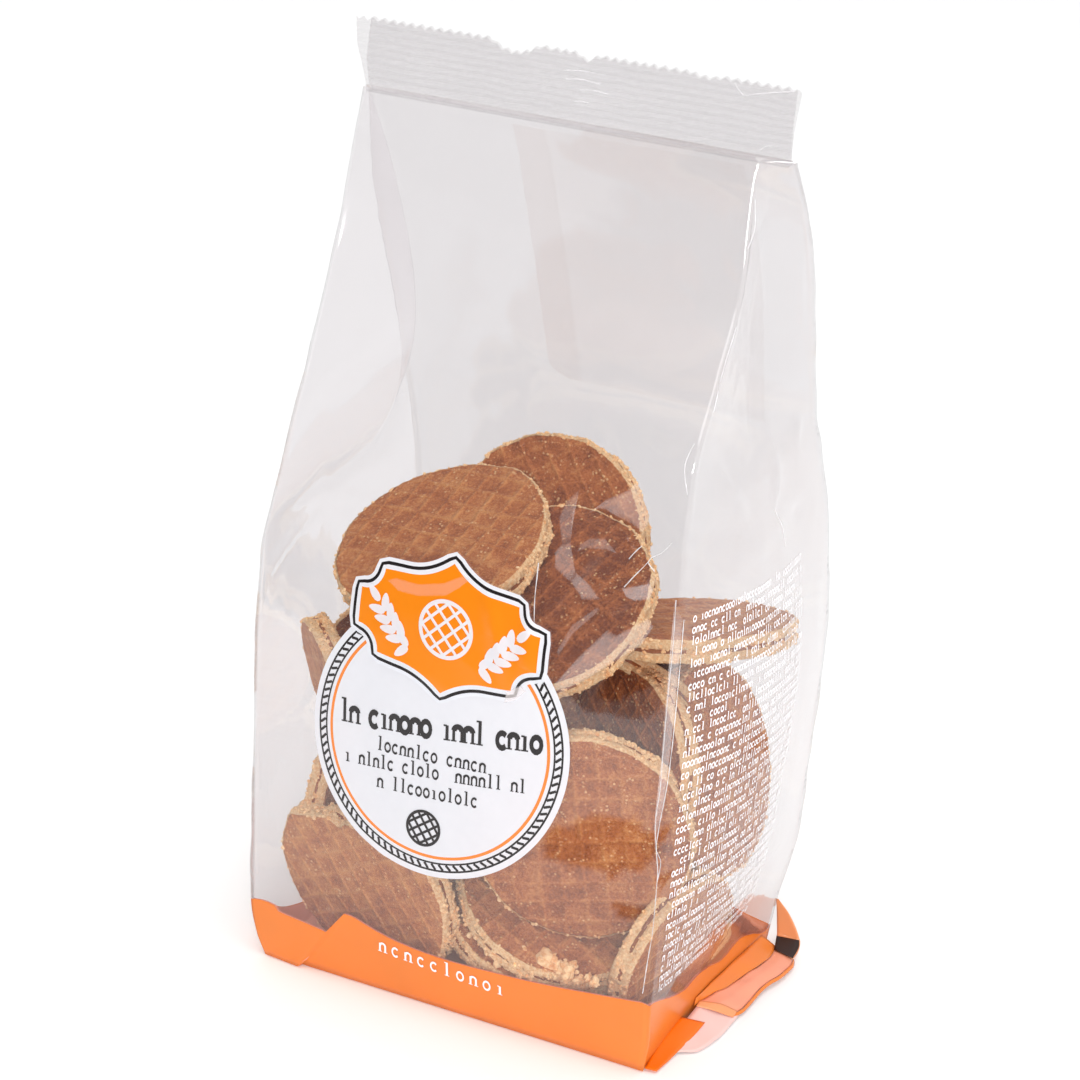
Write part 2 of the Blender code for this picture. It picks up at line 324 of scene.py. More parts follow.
def clearFilm(name, haze, roughness, clear, stripes=0.0):
    material, tree = newMaterial(name)
    place = addNode(tree, "ShaderNodeTexCoord")
    # drawing lines of the cast film, and a softer orange peel
    streaks = addNode(tree, "ShaderNodeMapping", {"Scale": (90, 90, 14)}, {"Vector": place.outputs["Object"]})
    lines = addNode(tree, "ShaderNodeTexNoise", {"Scale": 1.0, "Detail": 2.0}, {"Vector": streaks.outputs[0]})
    bump = addNode(tree, "ShaderNodeBump", {"Strength": 0.25, "Distance": 0.0008}, {"Height": lines.outputs[0]})
    # both faces of the film mirror alike from either side, more at a slant
    slant = addNode(tree, "ShaderNodeLayerWeight", {"Blend": 0.5}, {"Normal": bump.outputs[0]})
    steep = addNode(tree, "ShaderNodeMath", {1: 3.5}, {0: slant.outputs["Facing"]}, operation="POWER")
    both = addNode(tree, "ShaderNodeMath", {1: 0.62, 2: filmLook["mirror"]}, {0: steep.outputs[0]},
                   operation="MULTIPLY_ADD")
    contact = addNode(tree, "ShaderNodeAttribute", attribute_name="contact")
    dry = addNode(tree, "ShaderNodeMath", {1: -0.8, 2: 1.0}, {0: contact.outputs["Fac"]}, operation="MULTIPLY_ADD")
    share = addNode(tree, "ShaderNodeMath", links={0: both.outputs[0], 1: dry.outputs[0]}, operation="MULTIPLY")
    through = addNode(tree, "ShaderNodeBsdfTransparent", {"Color": (clear, 0.985 * clear, 0.992 * clear, 1.0)})
    gloss = addNode(tree, "ShaderNodeBsdfAnisotropic", {"Color": (1, 1, 1, 1), "Roughness": roughness},
                    {"Normal": bump.outputs[0]})
    mirror = addNode(tree, "ShaderNodeMixShader", links={0: share.outputs[0], 1: through.outputs[0],
                                                         2: gloss.outputs[0]})
    white = addNode(tree, "ShaderNodeBsdfDiffuse", {"Color": toLinear("F4F1F2")})
    # pressed ribs of a heat seal show as faint milky stripes: partly the pressed film's own whitening, partly a painted
    # sheen of light along the ribs
    ribs = addNode(tree, "ShaderNodeTexWave", {"Scale": 190.0, "Distortion": 3.0, "Detail": 2.0, "Detail Scale": 0.6},
                   {"Vector": place.outputs["Object"]}, bands_direction="Z")
    haze = addNode(tree, "ShaderNodeMath", {1: stripes, 2: haze}, {0: ribs.outputs["Fac"]}, operation="MULTIPLY_ADD")
    milk = addNode(tree, "ShaderNodeMath", links={0: haze.outputs[0], 1: dry.outputs[0]}, operation="MULTIPLY")
    endMaterial(tree, addNode(tree, "ShaderNodeMixShader",
                              links={0: milk.outputs[0], 1: mirror.outputs[0], 2: white.outputs[0]}))
    return material


def printedFilm(name, colour, roughness, mottle):
    # gravure ink under the film's own gloss: flat colour, faintly uneven where the film creases
    material, tree = newMaterial(name)
    place = addNode(tree, "ShaderNodeTexCoord")
    cloud = addNode(tree, "ShaderNodeTexNoise", {"Scale": 55.0, "Detail": 3.0}, {"Vector": place.outputs["Object"]})
    shade = addNode(tree, "ShaderNodeMapRange", {"From Min": 0.3, "From Max": 0.7, "To Min": 1 - mottle, "To Max": 1.0},
                    {"Value": cloud.outputs[0]})
    ink = addNode(tree, "ShaderNodeMix", {0: 1.0, 6: toLinear(colour)}, {7: shade.outputs[0]}, data_type="RGBA",
                  blend_type="MULTIPLY")
    bump = addNode(tree, "ShaderNodeBump", {"Strength": 0.2, "Distance": 0.0006}, {"Height": cloud.outputs[0]})
    face = addNode(tree, "ShaderNodeBsdfPrincipled", {"Roughness": roughness, "IOR": 1.5},
                   {"Base Color": ink.outputs[2], "Normal": bump.outputs[0]})
    # the ink layer is thin enough to glow where light falls on its far side
    glow = addNode(tree, "ShaderNodeBsdfTranslucent", links={"Color": ink.outputs[2]})
    endMaterial(tree, addNode(tree, "ShaderNodeMixShader", {0: filmLook["inkGlow"]},
                              {1: face.outputs[0], 2: glow.outputs[0]}))
    return material


def thinLap(name):
    # a layer pressed flat on another: only its slight grey shows
    material, tree = newMaterial(name)
    clear = addNode(tree, "ShaderNodeBsdfTransparent", {"Color": (0.985, 0.972, 0.968, 1)})
    gloss = addNode(tree, "ShaderNodeBsdfAnisotropic", {"Color": (1, 1, 1, 1), "Roughness": 0.2})
    endMaterial(tree, addNode(tree, "ShaderNodeMixShader", {0: 0.012}, {1: clear.outputs[0], 2: gloss.outputs[0]}))
    return material


neckFilm = thinLap("film_closed_at_neck")
clearPolypropylene = clearFilm("oriented_polypropylene_clear", filmLook["haze"], filmLook["roughness"], filmLook["clear"])
# painted light: a clearer, less hazy copy of the clear film, used on the left wall above the band to lighten that wall
leftWallLightenedFilm = clearFilm("oriented_polypropylene_left_wall_lightened", 0.02, filmLook["roughness"], 0.97)
sealPolypropylene = clearFilm("oriented_polypropylene_heat_sealed", 0.04, 0.14, 0.87, 0.12)
orangeFilm = printedFilm("orange_gravure_ink_on_film", "F18533", 0.24, 0.08)
orangeInside = printedFilm("orange_ink_seen_through_film", "FFA888", 0.3, 0.08)
print("film materials ready")


# The film body: rows follow the printed band's edge at the foot, and even steps above it.
filmGrid = {
    "bandRows": 9,
    "rowStep": 1.7,
    "columns": {"front": (34, 48), "right": (46,), "back": (60,), "left": (42,)},
    "evenFrom": 32,
    "pleatGap": 0.5,
    "creaseBead": 0.55,
}
bandTops = {
    "frontLeft": [(-53, 14.2), (-48, 15), (-45.2, 14.8), (-43.8, 13.6), (-38.5, 13.3), (-31.6, 13), (-28, 12.6)],
    "frontRight": [(-26, 18.9), (-17.5, 17), (-10.7, 15.9), (-4, 15.4), (2.6, 15.3), (15.7, 16), (28.5, 17),
                   (44.9, 18.8), (53, 19.6)],
    "right": [(-38, 19.6), (-31.6, 17.8), (-23.3, 14.6), (-14.9, 12.5), (-9.7, 13.1), (-1.2, 11.8), (7.6, 9.6),
              (15.9, 10.9), (25.1, 8.6), (34.6, 5.6), (39, 5.6)],
    "back": [(-54, 5), (-40, 8), (0, 13), (30, 10), (44, 7), (56, 5.6)],
    "left": [(-38, 14.6), (-31, 10.5), (-22, 6), (-8, 3.6), (12, 3.6), (38, 5)],
}


def bandTop(side, across, folded):
    if side == "front":
        return smoothCurve(bandTops["frontLeft" if folded else "frontRight"], across)[0]
    return smoothCurve(bandTops[side], across)[0]


def filmColumns():
    # (side, share along its part, part)
    columns = []
    for side, counts in filmGrid["columns"].items():
        for part, count in enumerate(counts):
            last = count if side == "front" and part == 0 else count - 1
            columns += [(side, i / count, part) for i in range(last + 1)]
    return columns


def columnAcross(side, share, part, height):
    startName, endName, outward = panelEnds[side]
    axis = 0 if outward[0] == 0 else 1
    start = readCurve(startName, height)[axis]
    end = readCurve(endName, height)[axis]
    if side == "front":
        head = bagShape["pleatHead"]
        if height < head[1]:
            pleat = pleatX(height)
        else:
            low = readCurve("frontLeft", head[1])[0]
            high = readCurve("frontRight", head[1])[0]
            pleat = start + (end - start) * (head[0] - low) / (high - low)
        if part == 0:
            end = pleat
        else:
            start = pleat + filmGrid["pleatGap"]
    return start + (end - start) * share


def rowHeights(side, share, part):
    across = columnAcross(side, share, part, 15)
    top = bandTop(side, across, part == 0)
    rows = [top * i / filmGrid["bandRows"] for i in range(filmGrid["bandRows"] + 1)]
    even = filmGrid["evenFrom"]
    between = round((even - 16) / filmGrid["rowStep"])
    rows += [top + (even - top) * (i + 1) / between for i in range(between)]
    above = round((neckHeight - even) / filmGrid["rowStep"])
    rows += [even + (neckHeight - even) * (i + 1) / above for i in range(above)]
    return rows


def filmBody():
    columns = filmColumns()
    points = []
    for side, share, part in columns:
        for height in rowHeights(side, share, part):
            across = columnAcross(side, share, part, height)
            x, y, z = wallPoint(side, across, height)
            if side == "front" and part == 1 and share == 0 and height < bagShape["pleatHead"][1]:
                x, y, z = wallPoint(side, across, height, 0.0)
            if share == 0 and part == 0:
                # the pinched bead along each corner crease
                bead = filmGrid["creaseBead"] * (0.6 + 0.8 * noise.noise(Vector((height / 9, across, 3))))
                bead *= smoothStep(3, 16, height) * smoothStep(neckHeight, 175, height)
                length = math.hypot(x, y)
                x += bead * x / length
                y += bead * y / length
            points.append((x, y, z))
    rows = len(points) // len(columns)
    count = len(columns)
    faces = []
    slots = []
    for c in range(count):
        d = (c + 1) % count
        for r in range(rows - 1):
            faces.append((c * rows + r, d * rows + r, d * rows + r + 1, c * rows + r + 1))
            # slot 3 puts the lightened copy of the film (painted light) on the left wall
            slots.append(1 if r < filmGrid["bandRows"] else 3 if columns[c][0] == "left" else 0)
    # folded base and the closed neck
    base = [c * rows for c in range(count)]
    faces.append(tuple(reversed(base)))
    slots.append(1)
    neck = [c * rows + rows - 1 for c in range(count)]
    faces.append(tuple(neck))
    slots.append(2)
    film = meshPiece("film_body", points, faces, [clearPolypropylene, orangeFilm, neckFilm, leftWallLightenedFilm], slots)
    film.data.polygons[len(faces) - 1].use_smooth = False
    contact = []
    for side, share, part in columns:
        for height in rowHeights(side, share, part):
            contact.append(contactAt(side, columnAcross(side, share, part, height), height))
    pointAttribute(film, "contact", contact)
    return film


# Where biscuits press on the film and wet it with butter: panel, middle, half sizes, slant.
contactPatches = [
    ("front", 40.0, 56.4, 14.0, 6.6, 14),
    ("front", 46.6, 41.8, 3.6, 1.4, 0),
    ("front", 43.0, 96.5, 9.0, 3.6, 36),
    ("right", -36.8, 62.5, 2.6, 1.6, 0),
    ("right", -36.0, 50.6, 2.6, 1.6, 0),
    ("right", -4.0, 73.0, 7.0, 3.0, -20),
]


def contactAt(side, across, height):
    wet = 0.0
    for panel, middle, level, reach, rise, slant in contactPatches:
        if panel != side:
            continue
        turn = math.radians(slant)
        dx, dy = across - middle, height - level
        u = (dx * math.cos(turn) + dy * math.sin(turn)) / reach
        v = (dy * math.cos(turn) - dx * math.sin(turn)) / rise
        ragged = 0.35 * noise.noise(Vector((across / 5, height / 5, middle)))
        wet = max(wet, smoothStep(1.08, 0.92, math.hypot(u, v) + ragged))
    return wet


film = filmBody()
print("film body ready,", len(film.data.polygons), "faces")


# The wafers: two thin waffle layers with caramel between, stamped out round.
wafer = {
    "radius": 25.4,
    "thickness": 5.5,
    "caramel": 0.9,
    "gridPitch": 5.2,
    "gridDepth": 0.2,
    "rimNoise": 0.34,
    "fine": {"face": 22, "back": 8, "segments": 216},
    "plain": {"face": 8, "back": 6, "segments": 120},
}
# A wafer with part of its edge broken off: direction and distance of the break from its middle.
brokenEdges = {4: (67, 17.6), 11: (20, 22.5)}
# Middle of each wafer in millimetres, the azimuth and elevation its face looks to, its spin,
# how much it bows, its size and a tone that makes its crust lighter or darker; azimuth 0 looks straight out of the
# front panel.
waferPlaces = [
    (-18.5, -12, 104.5, -17, 63, 10, 0.8, 1.0, 0.2),
    (-6, 16, 99.5, 0, 21, 40, 0.5, 1.0, -0.5),
    (8.9, -12.2, 97, -7, 53, 75, 1.0, 1.01, -2.0),
    (28.6, -26.5, 50, 20, -3, 8, 0.6, 1.0, -0.3),
    (-23, -31.5, 25.2, -10, -13, 30, 0.5, 0.98, 0.7),
    (40.5, 14.5, 53.6, 87, 18, 50, 0.5, 1.0, 0.2),
    (46.6, -13, 20.5, 80, -12, 15, 0.6, 0.78, 0.8),
    (33.2, 11, 88.5, 44, 102, 5, 0.3, 1.0, 0.4),
    (19.8, -14.5, 27.5, 46, 63, 33, 0.9, 1.0, 0.0),
    (31, -7.5, 62, -28, 6, 60, 0.5, 0.86, -1.6),
    (-37, -21.5, 61, -44, -17, 22, 0.5, 0.95, 0.5),
    (-39.3, -6, 32, 86, 2, 11, 0.5, 0.97, -0.6),
    (-32, 4, 61, 6, -10, 11, 0.5, 0.96, -2.2),
    (15.5, -12.5, 20, 44, 68, 33, 0.9, 1.0, -0.3),
    (-8, -4, 62, 10, 50, 70, 0.4, 1.0, -0.4),
    (8, 6, 24, 0, 70, 25, 0.4, 1.0, -0.8),
    (-24, 6, 14, 0, 82, 12, 0.3, 1.0, -0.4),
    (24, 10, 12, 0, 84, 66, 0.3, 1.0, 0.1),
    (-18, 14, 38, 170, 40, 5, 0.4, 1.0, -0.2),
    (14, 27, 58, 178, 8, 35, 0.4, 1.0, 0.4),
    (-22, 28, 66, 185, 8, 55, 0.4, 1.0, 0.3),
    (12, 10, 74, 170, 50, 45, 0.4, 1.0, -0.4),
    (-28, 19, 30, -165, 8, 65, 0.4, 1.0, 0.1),
]


def waferProfile(face, back):
    # (ring radius share, inset from the radius, height, crumb, caramel), from one face round to the other
    half = wafer["thickness"] / 2
    gap = wafer["caramel"] / 2
    edge = [(1, 0.42, half - 0.14, 0.7, 0), (1, 0.1, half - 0.5, 1.0, 0), (1, 0.0, half - 1.0, 1.0, 0),
            (1, 0.04, half - 1.5, 1.0, 0), (1, 0.1, gap + 0.3, 1.0, 0), (1, 0.42, gap, 0.9, 1),
            (1, 0.34, gap * 0.4, 0.7, 1)]
    upper = [(i / face, 1.0 * i / face, half, 0.0, 0) for i in range(1, face + 1)] + edge
    lower = [(i / back, 1.0 * i / back, half, 0.0, 0) for i in range(1, back + 1)] + edge
    return upper + [(share, inset, -height, crumb, caramel) for share, inset, height, crumb, caramel in lower[::-1]]


def ironMark(x, y):
    # depth of the baking iron's grid at a point of the wafer, 1 on its lines
    u = x / wafer["gridPitch"]
    v = y / wafer["gridPitch"]
    wave = max(math.cos(2 * math.pi * u), math.cos(2 * math.pi * v))
    return max(0.0, (wave - 0.1) / 0.9) ** 1.5


def waferPoints(seed, detail, broken):
    segments = detail["segments"]
    profile = waferProfile(detail["face"], detail["back"])
    half = wafer["thickness"] / 2
    points, crumbs, sheet = [(0, 0, half)], [0.0], [(0, 0)]
    drift = Vector((seed * 7.3, seed * 3.1, seed * 1.7))
    for share, inset, height, crumb, caramel in profile:
        layer = 1 if height > 0 else -1
        for k in range(segments):
            angle = 2 * math.pi * k / segments
            ring = Vector((math.cos(angle), math.sin(angle), 0))
            base = wafer["radius"] + 0.55 * noise.noise(ring * 1.7 + drift) + 0.3 * noise.noise(ring * 5 + drift)
            # each layer is cut a little differently
            base += 0.35 * noise.noise(ring * 3 + drift + Vector((0, 0, 5 * layer)))
            loose = 1.0
            if broken:
                lean = math.cos(angle - math.radians(broken[0]))
                reach = broken[1] / max(lean, 0.1) + 1.3 * noise.noise(ring * 6 + drift)
                loose = 1.0 if reach > base else 1.9
                base = min(base, reach)
            spot = ring * wafer["radius"] + Vector((0, 0, height * 2.2))
            ragged = 0.35 * noise.noise(spot * 0.45 + drift) + 0.5 * noise.noise(spot * 1.7 + drift)
            ragged += 1.1 * noise.noise(spot * 3.7 + drift)
            chip = max(0.0, noise.noise(spot * 0.22 + drift) - 0.3) * 4
            radius = (base - inset) * share + wafer["rimNoise"] * crumb * loose * (ragged - chip)
            place = ring * radius
            warp = Vector((place.x / 11, place.y / 11, layer)) + drift
            gx = place.x + 0.9 * noise.noise(warp)
            gy = place.y + 0.9 * noise.noise(warp + Vector((9, 0, 0)))
            lift = 0.16 * noise.noise(Vector((place.x / 4, place.y / 4, layer)) + drift)
            lift += layer * wafer["gridDepth"] * ironMark(gx, gy) * smoothStep(1.0, 0.9, share)
            if crumb > 0.5 and not caramel:
                lift += 0.25 * noise.noise(spot * 3.1 - drift)
            points.append((place.x, place.y, height + lift))
            crumbs.append(crumb if share == 1 else smoothStep(0.9, 1.0, share) * 0.55)
            sheet.append((gx, gy))
    points.append((0, 0, -half))
    crumbs.append(0.0)
    sheet.append((0, 0))
    faces, slots = [], []
    rows = len(profile)
    for k in range(segments):
        j = (k + 1) % segments
        faces.append((0, 1 + k, 1 + j))
        slots.append(0)
        for row in range(rows - 1):
            a = 1 + row * segments
            b = a + segments
            faces.append((a + k, b + k, b + j, a + j))
            # crumbs hide the caramel over much of the cut edge
            spot = Vector(points[a + k]) * 0.16 + drift
            bare = noise.noise(spot) > -0.12
            slots.append(1 if bare and profile[row][4] and profile[row + 1][4] else 0)
        last = 1 + (rows - 1) * segments
        faces.append((last + k, len(points) - 1, last + j))
        slots.append(0)
    return points, crumbs, sheet, faces, slots


def waferTurn(azimuth, elevation, spin):
    a, e = math.radians(azimuth), math.radians(elevation)
    face = Vector((math.sin(a) * math.cos(e), -math.cos(a) * math.cos(e), math.sin(e)))
    across = Vector((math.cos(a), math.sin(a), 0))
    return Matrix((across, face.cross(across), face)).transposed() @ Matrix.Rotation(math.radians(spin), 3, "Z")


def waferGroup(name, numbers, detail, materials):
    points, crumbs, faces, slots, grid, tones = [], [], [], [], [], []
    for number in numbers:
        x, y, z, azimuth, elevation, spin, bow, size, tone = waferPlaces[number]
        local, crumb, sheet, sides, parts = waferPoints(11 + number, wafer[detail], brokenEdges.get(number))
        turn = waferTurn(azimuth, elevation, spin)
        bend = math.radians(random.Random(number).uniform(0, 180))
        start = len(points)
        for px, py, pz in local:
            along = px * math.cos(bend) + py * math.sin(bend)
            sag = bow * (0.5 - (along / wafer["radius"]) ** 2)
            spot = turn @ Vector((px * size, py * size, pz + sag))
            points.append((x + spot.x, y + spot.y, z + spot.z))
            tones.append(tone)
        crumbs += crumb
        grid += sheet
        faces += [tuple(start + i for i in side) for side in sides]
        slots += parts
    group = meshPiece(name, points, faces, materials, slots)
    pointAttribute(group, "crumb", crumbs)
    pointAttribute(group, "tone", tones)
    # one UV unit is one mesh of the iron's grid
    pitch = wafer["gridPitch"]
    layer = group.data.uv_layers.new(name="iron_grid")
    layer.data.foreach_set("uv", [v / pitch for loop in group.data.loops for v in grid[loop.vertex_index]])
    return group


# Baked waffle: a fine-grained, matt brown crust with a buttery sheen, pale and crumbly where cut.
waffleLook = {
    "dark": "7C3811", "mid": "BC6C37", "light": "DA9558", "grain": "F2C08A",
    "cut": "FFDDAC", "cutShade": "EAB078", "caramel": "9C5216",
}


def bakedWaffle():
    material, tree = newMaterial("baked_waffle_crust")
    place = addNode(tree, "ShaderNodeTexCoord")
    spot = place.outputs["Object"]
    sheet = place.outputs["UV"]
    # the pattern's lines fall on whole UV units
    split = addNode(tree, "ShaderNodeSeparateXYZ", links={0: sheet})
    ridges = []
    for axis in (0, 1):
        wave = addNode(tree, "ShaderNodeMath", {1: 0.5}, {0: split.outputs[axis]}, operation="PINGPONG")
        ridges.append(addNode(tree, "ShaderNodeMapRange", {"From Min": 0.02, "From Max": 0.17, "To Min": 1.0,
                                                           "To Max": 0.0}, {"Value": wave.outputs[0]}))
    ridge = addNode(tree, "ShaderNodeMath", links={0: ridges[0].outputs[0], 1: ridges[1].outputs[0]},
                    operation="MAXIMUM")
    blotch = addNode(tree, "ShaderNodeTexNoise", {"Scale": 210.0, "Detail": 4.0, "Roughness": 0.6}, {"Vector": spot})
    grain = addNode(tree, "ShaderNodeTexNoise", {"Scale": 1700.0, "Detail": 3.0, "Roughness": 0.75}, {"Vector": spot})
    tone = addNode(tree, "ShaderNodeAttribute", attribute_name="tone")
    # large blotches, fine grain, the wafer's set tone and the ridges all move one brown scale
    level = addNode(tree, "ShaderNodeMath", {1: 0.5}, {0: blotch.outputs[0]}, operation="MULTIPLY")
    level = addNode(tree, "ShaderNodeMath", {1: 0.5}, {0: grain.outputs[0], 2: level.outputs[0]},
                    operation="MULTIPLY_ADD")
    level = addNode(tree, "ShaderNodeMath", {1: 0.06}, {0: tone.outputs["Fac"], 2: level.outputs[0]},
                    operation="MULTIPLY_ADD")
    level = addNode(tree, "ShaderNodeMath", {1: 0.065}, {0: ridge.outputs[0], 2: level.outputs[0]},
                    operation="MULTIPLY_ADD")
    crust = setStops(addNode(tree, "ShaderNodeValToRGB", links={0: level.outputs[0]}),
                     [(0.33, waffleLook["dark"]), (0.51, waffleLook["mid"]), (0.65, waffleLook["light"])])
    # sugar and butter specks
    specks = addNode(tree, "ShaderNodeTexVoronoi", {"Scale": 900.0}, {"Vector": spot}, feature="F1")
    chosen = addNode(tree, "ShaderNodeTexNoise", {"Scale": 330.0}, {"Vector": spot})
    dots = addNode(tree, "ShaderNodeMapRange", {"From Min": 0.34, "From Max": 0.16}, {"Value": specks.outputs[0]})
    rare = addNode(tree, "ShaderNodeMapRange", {"From Min": 0.5, "From Max": 0.62}, {"Value": chosen.outputs[0]})
    speck = addNode(tree, "ShaderNodeMath", links={0: dots.outputs[0], 1: rare.outputs[0]}, operation="MULTIPLY")
    face = addNode(tree, "ShaderNodeMix", {7: toLinear(waffleLook["grain"])},
                   {0: speck.outputs[0], 6: crust.outputs[0]}, data_type="RGBA")
    # the cut rim is an open sponge: pale, with small darker holes
    holes = addNode(tree, "ShaderNodeTexNoise", {"Scale": 1500.0, "Detail": 3.0, "Roughness": 0.7}, {"Vector": spot})
    cut = setStops(addNode(tree, "ShaderNodeValToRGB", links={0: holes.outputs[0]}),
                   [(0.38, waffleLook["cut"]), (0.66, waffleLook["cutShade"])])
    crumb = addNode(tree, "ShaderNodeAttribute", attribute_name="crumb")
    rough = addNode(tree, "ShaderNodeMath", {1: 0.45}, {0: grain.outputs[0], 2: crumb.outputs["Fac"]},
                    operation="MULTIPLY_ADD")
    edge = addNode(tree, "ShaderNodeMapRange", {"From Min": 0.5, "From Max": 0.8}, {"Value": rough.outputs[0]})
    colour = addNode(tree, "ShaderNodeMix", links={0: edge.outputs[0], 6: face.outputs[2], 7: cut.outputs[0]},
                     data_type="RGBA")
    relief = addNode(tree, "ShaderNodeMath", {1: 0.7}, {0: ridge.outputs[0], 2: grain.outputs[0]},
                     operation="MULTIPLY_ADD")
    relief = addNode(tree, "ShaderNodeMath", {1: 0.5}, {0: speck.outputs[0], 2: relief.outputs[0]},
                     operation="MULTIPLY_ADD")
    pits = addNode(tree, "ShaderNodeMath", links={0: holes.outputs[0], 1: edge.outputs[0]}, operation="MULTIPLY")
    relief = addNode(tree, "ShaderNodeMath", links={0: relief.outputs[0], 1: pits.outputs[0]}, operation="SUBTRACT")
    bump = addNode(tree, "ShaderNodeBump", {"Strength": 0.7, "Distance": 0.0008}, {"Height": relief.outputs[0]})
    endMaterial(tree, addNode(tree, "ShaderNodeBsdfPrincipled", {"Roughness": 0.62, "IOR": 1.45,
                                                                 "Specular IOR Level": 0.35},
                              {"Base Color": colour.outputs[2], "Normal": bump.outputs[0]}))
    return material


def caramelSyrup():
    # boiled sugar and butter, set firm: a dark amber line with a low gloss
    material, tree = newMaterial("caramel_syrup")
    place = addNode(tree, "ShaderNodeTexCoord")
    cloud = addNode(tree, "ShaderNodeTexNoise", {"Scale": 300.0, "Detail": 3.0}, {"Vector": place.outputs["Object"]})
    tone = setStops(addNode(tree, "ShaderNodeValToRGB", links={0: cloud.outputs[0]}),
                    [(0.35, "85481A"), (0.65, waffleLook["caramel"])])
    endMaterial(tree, addNode(tree, "ShaderNodeBsdfPrincipled", {"Roughness": 0.38, "IOR": 1.48},
                              {"Base Color": tone.outputs[0]}))
    return material


waffleMaterials = [bakedWaffle(), caramelSyrup()]
upperWafers = waferGroup("stroopwafels_upper", (0, 1, 2, 7, 9, 10, 12), "fine", waffleMaterials)
lowerWafers = waferGroup("stroopwafels_lower", (3, 4, 5, 6, 8, 11, 13), "fine", waffleMaterials)
farWafers = waferGroup("stroopwafels_behind", range(14, len(waferPlaces)), "plain", waffleMaterials)
print("wafers ready,", len(waferPlaces), "of them,",
      sum(len(group.data.polygons) for group in (upperWafers, lowerWafers, farWafers)), "faces")


# Crimped top seal: the front layer stops lower, the back layer ends in the saw-toothed cut.
seal = {
    "root": 203.4, "crimpFrom": 205.8, "crimpPitch": 1.5, "crimpDepth": 0.13, "backTop": 219.6,
    "columns": 270, "rows": 44, "toothPitch": 2.4, "toothHeight": 1.4,
    "frontEnds": [(203.5, -50, 53.8), (210, -52.2, 54), (213, -53.2, 54.4), (218, -53.6, 55)],
    "backEnds": [(203.5, -49.8, 53.6), (210, -51, 53.4), (220.6, -49.8, 53.8)],
    "dips": [(-13.5, 2.1, 6), (4.4, 1.2, 2.4), (33, 0.5, 3.6)],
}


def cutHeight(x):
    height = seal["backTop"]
    for middle, depth, reach in seal["dips"]:
        offset = abs(x - middle) / reach
        if offset < 1:
            height -= depth * (1 - offset * offset)
    phase = (x / seal["toothPitch"] + 0.25 * noise.noise(Vector((x / 6, 0, 0)))) % 1.0
    return height + seal["toothHeight"] * (phase if phase < 0.6 else (1 - phase) * 1.5)


def sealSheet(front):
    ends = seal["frontEnds" if front else "backEnds"]
    points, faces = [], []
    columns = seal["columns"]
    for row in range(seal["rows"] + 1):
        for column in range(columns + 1):
            share = column / columns
            level = row / seal["rows"]
            left, right = brokenLine(ends, seal["root"] + (218 - seal["root"]) * level)
            x = left + (right - left) * share
            top = cutHeight(x) - (0.3 if front else 0)
            z = seal["root"] + (top - seal["root"]) * level
            pressed = smoothStep(seal["root"], seal["crimpFrom"], z)
            y = 1.05 - 0.75 * pressed
            # crimp lines wander a little, and fade where the jaws pressed less
            wander = 0.35 * noise.noise(Vector((x / 22, z / 14, 1)))
            grip = 0.55 + 0.6 * noise.noise(Vector((x / 14, z / 9, 5)))
            wave = math.sin(2 * math.pi * ((z - seal["crimpFrom"]) / seal["crimpPitch"] + wander))
            y += pressed * seal["crimpDepth"] * grip * wave * (1 if front else -1) + 0.02
            bow = 0.5 * noise.noise(Vector((x / 30, z / 40, 9))) * pressed
            points.append((x, (-y if front else y) + bow, z))
    across = columns + 1
    for row in range(seal["rows"]):
        for column in range(columns):
            a = row * across + column
            quad = (a, a + 1, a + across + 1, a + across)
            faces.append(quad if front else quad[::-1])
    return points, faces


def crimpedSeal():
    frontPoints, frontFaces = sealSheet(True)
    backPoints, backFaces = sealSheet(False)
    start = len(frontPoints)
    faces = frontFaces + [tuple(start + i for i in face) for face in backFaces]
    return meshPiece("crimped_seal", frontPoints + backPoints, faces, [sealPolypropylene])


# Inside of the printed band, a shade paler, just within the film.
def bandLining():
    points, faces = [], []
    columns = filmColumns()
    rows = filmGrid["bandRows"] + 1
    for side, share, part in columns:
        for height in rowHeights(side, share, part)[:rows]:
            x, y, z = wallPoint(side, columnAcross(side, share, part, height), height, -0.3)
            points.append((x * 0.996, y * 0.996, max(z, 0.4)))
    count = len(columns)
    for c in range(count):
        d = (c + 1) % count
        for r in range(rows - 1):
            faces.append((c * rows + r, c * rows + r + 1, d * rows + r + 1, d * rows + r))
    faces.append(tuple(c * rows for c in range(count)))
    return meshPiece("band_lining", points, faces, [orangeInside])


def loftSheet(name, edges, along, across, material, ripple=0.0, thick=0.09):
    # a sheet through polylines of equal length, smoothed along them
    points, faces = [], []
    for i in range(along + 1):
        place = i / along * (len(edges[0]) - 1)
        ribs = [smoothCurve([(k, *point) for k, point in enumerate(edge)], place) for edge in edges]
        for j in range(across + 1):
            spot = brokenLine([(k, *rib) for k, rib in enumerate(ribs)], j / across * (len(edges) - 1))
            lift = ripple * noise.noise(Vector((spot[0] / 5, spot[1] / 6, 4)))
            points.append((spot[0], spot[1], max(spot[2] + lift, 0.25)))
    wide = across + 1
    for i in range(along):
        for j in range(across):
            a = i * wide + j
            faces.append((a, a + 1, a + wide + 1, a + wide))
    sheet = meshPiece(name, points, faces, [material])
    solid = sheet.modifiers.new("film thickness", "SOLIDIFY")
    solid.thickness = thick * mm
    solid.offset = 0
    return sheet


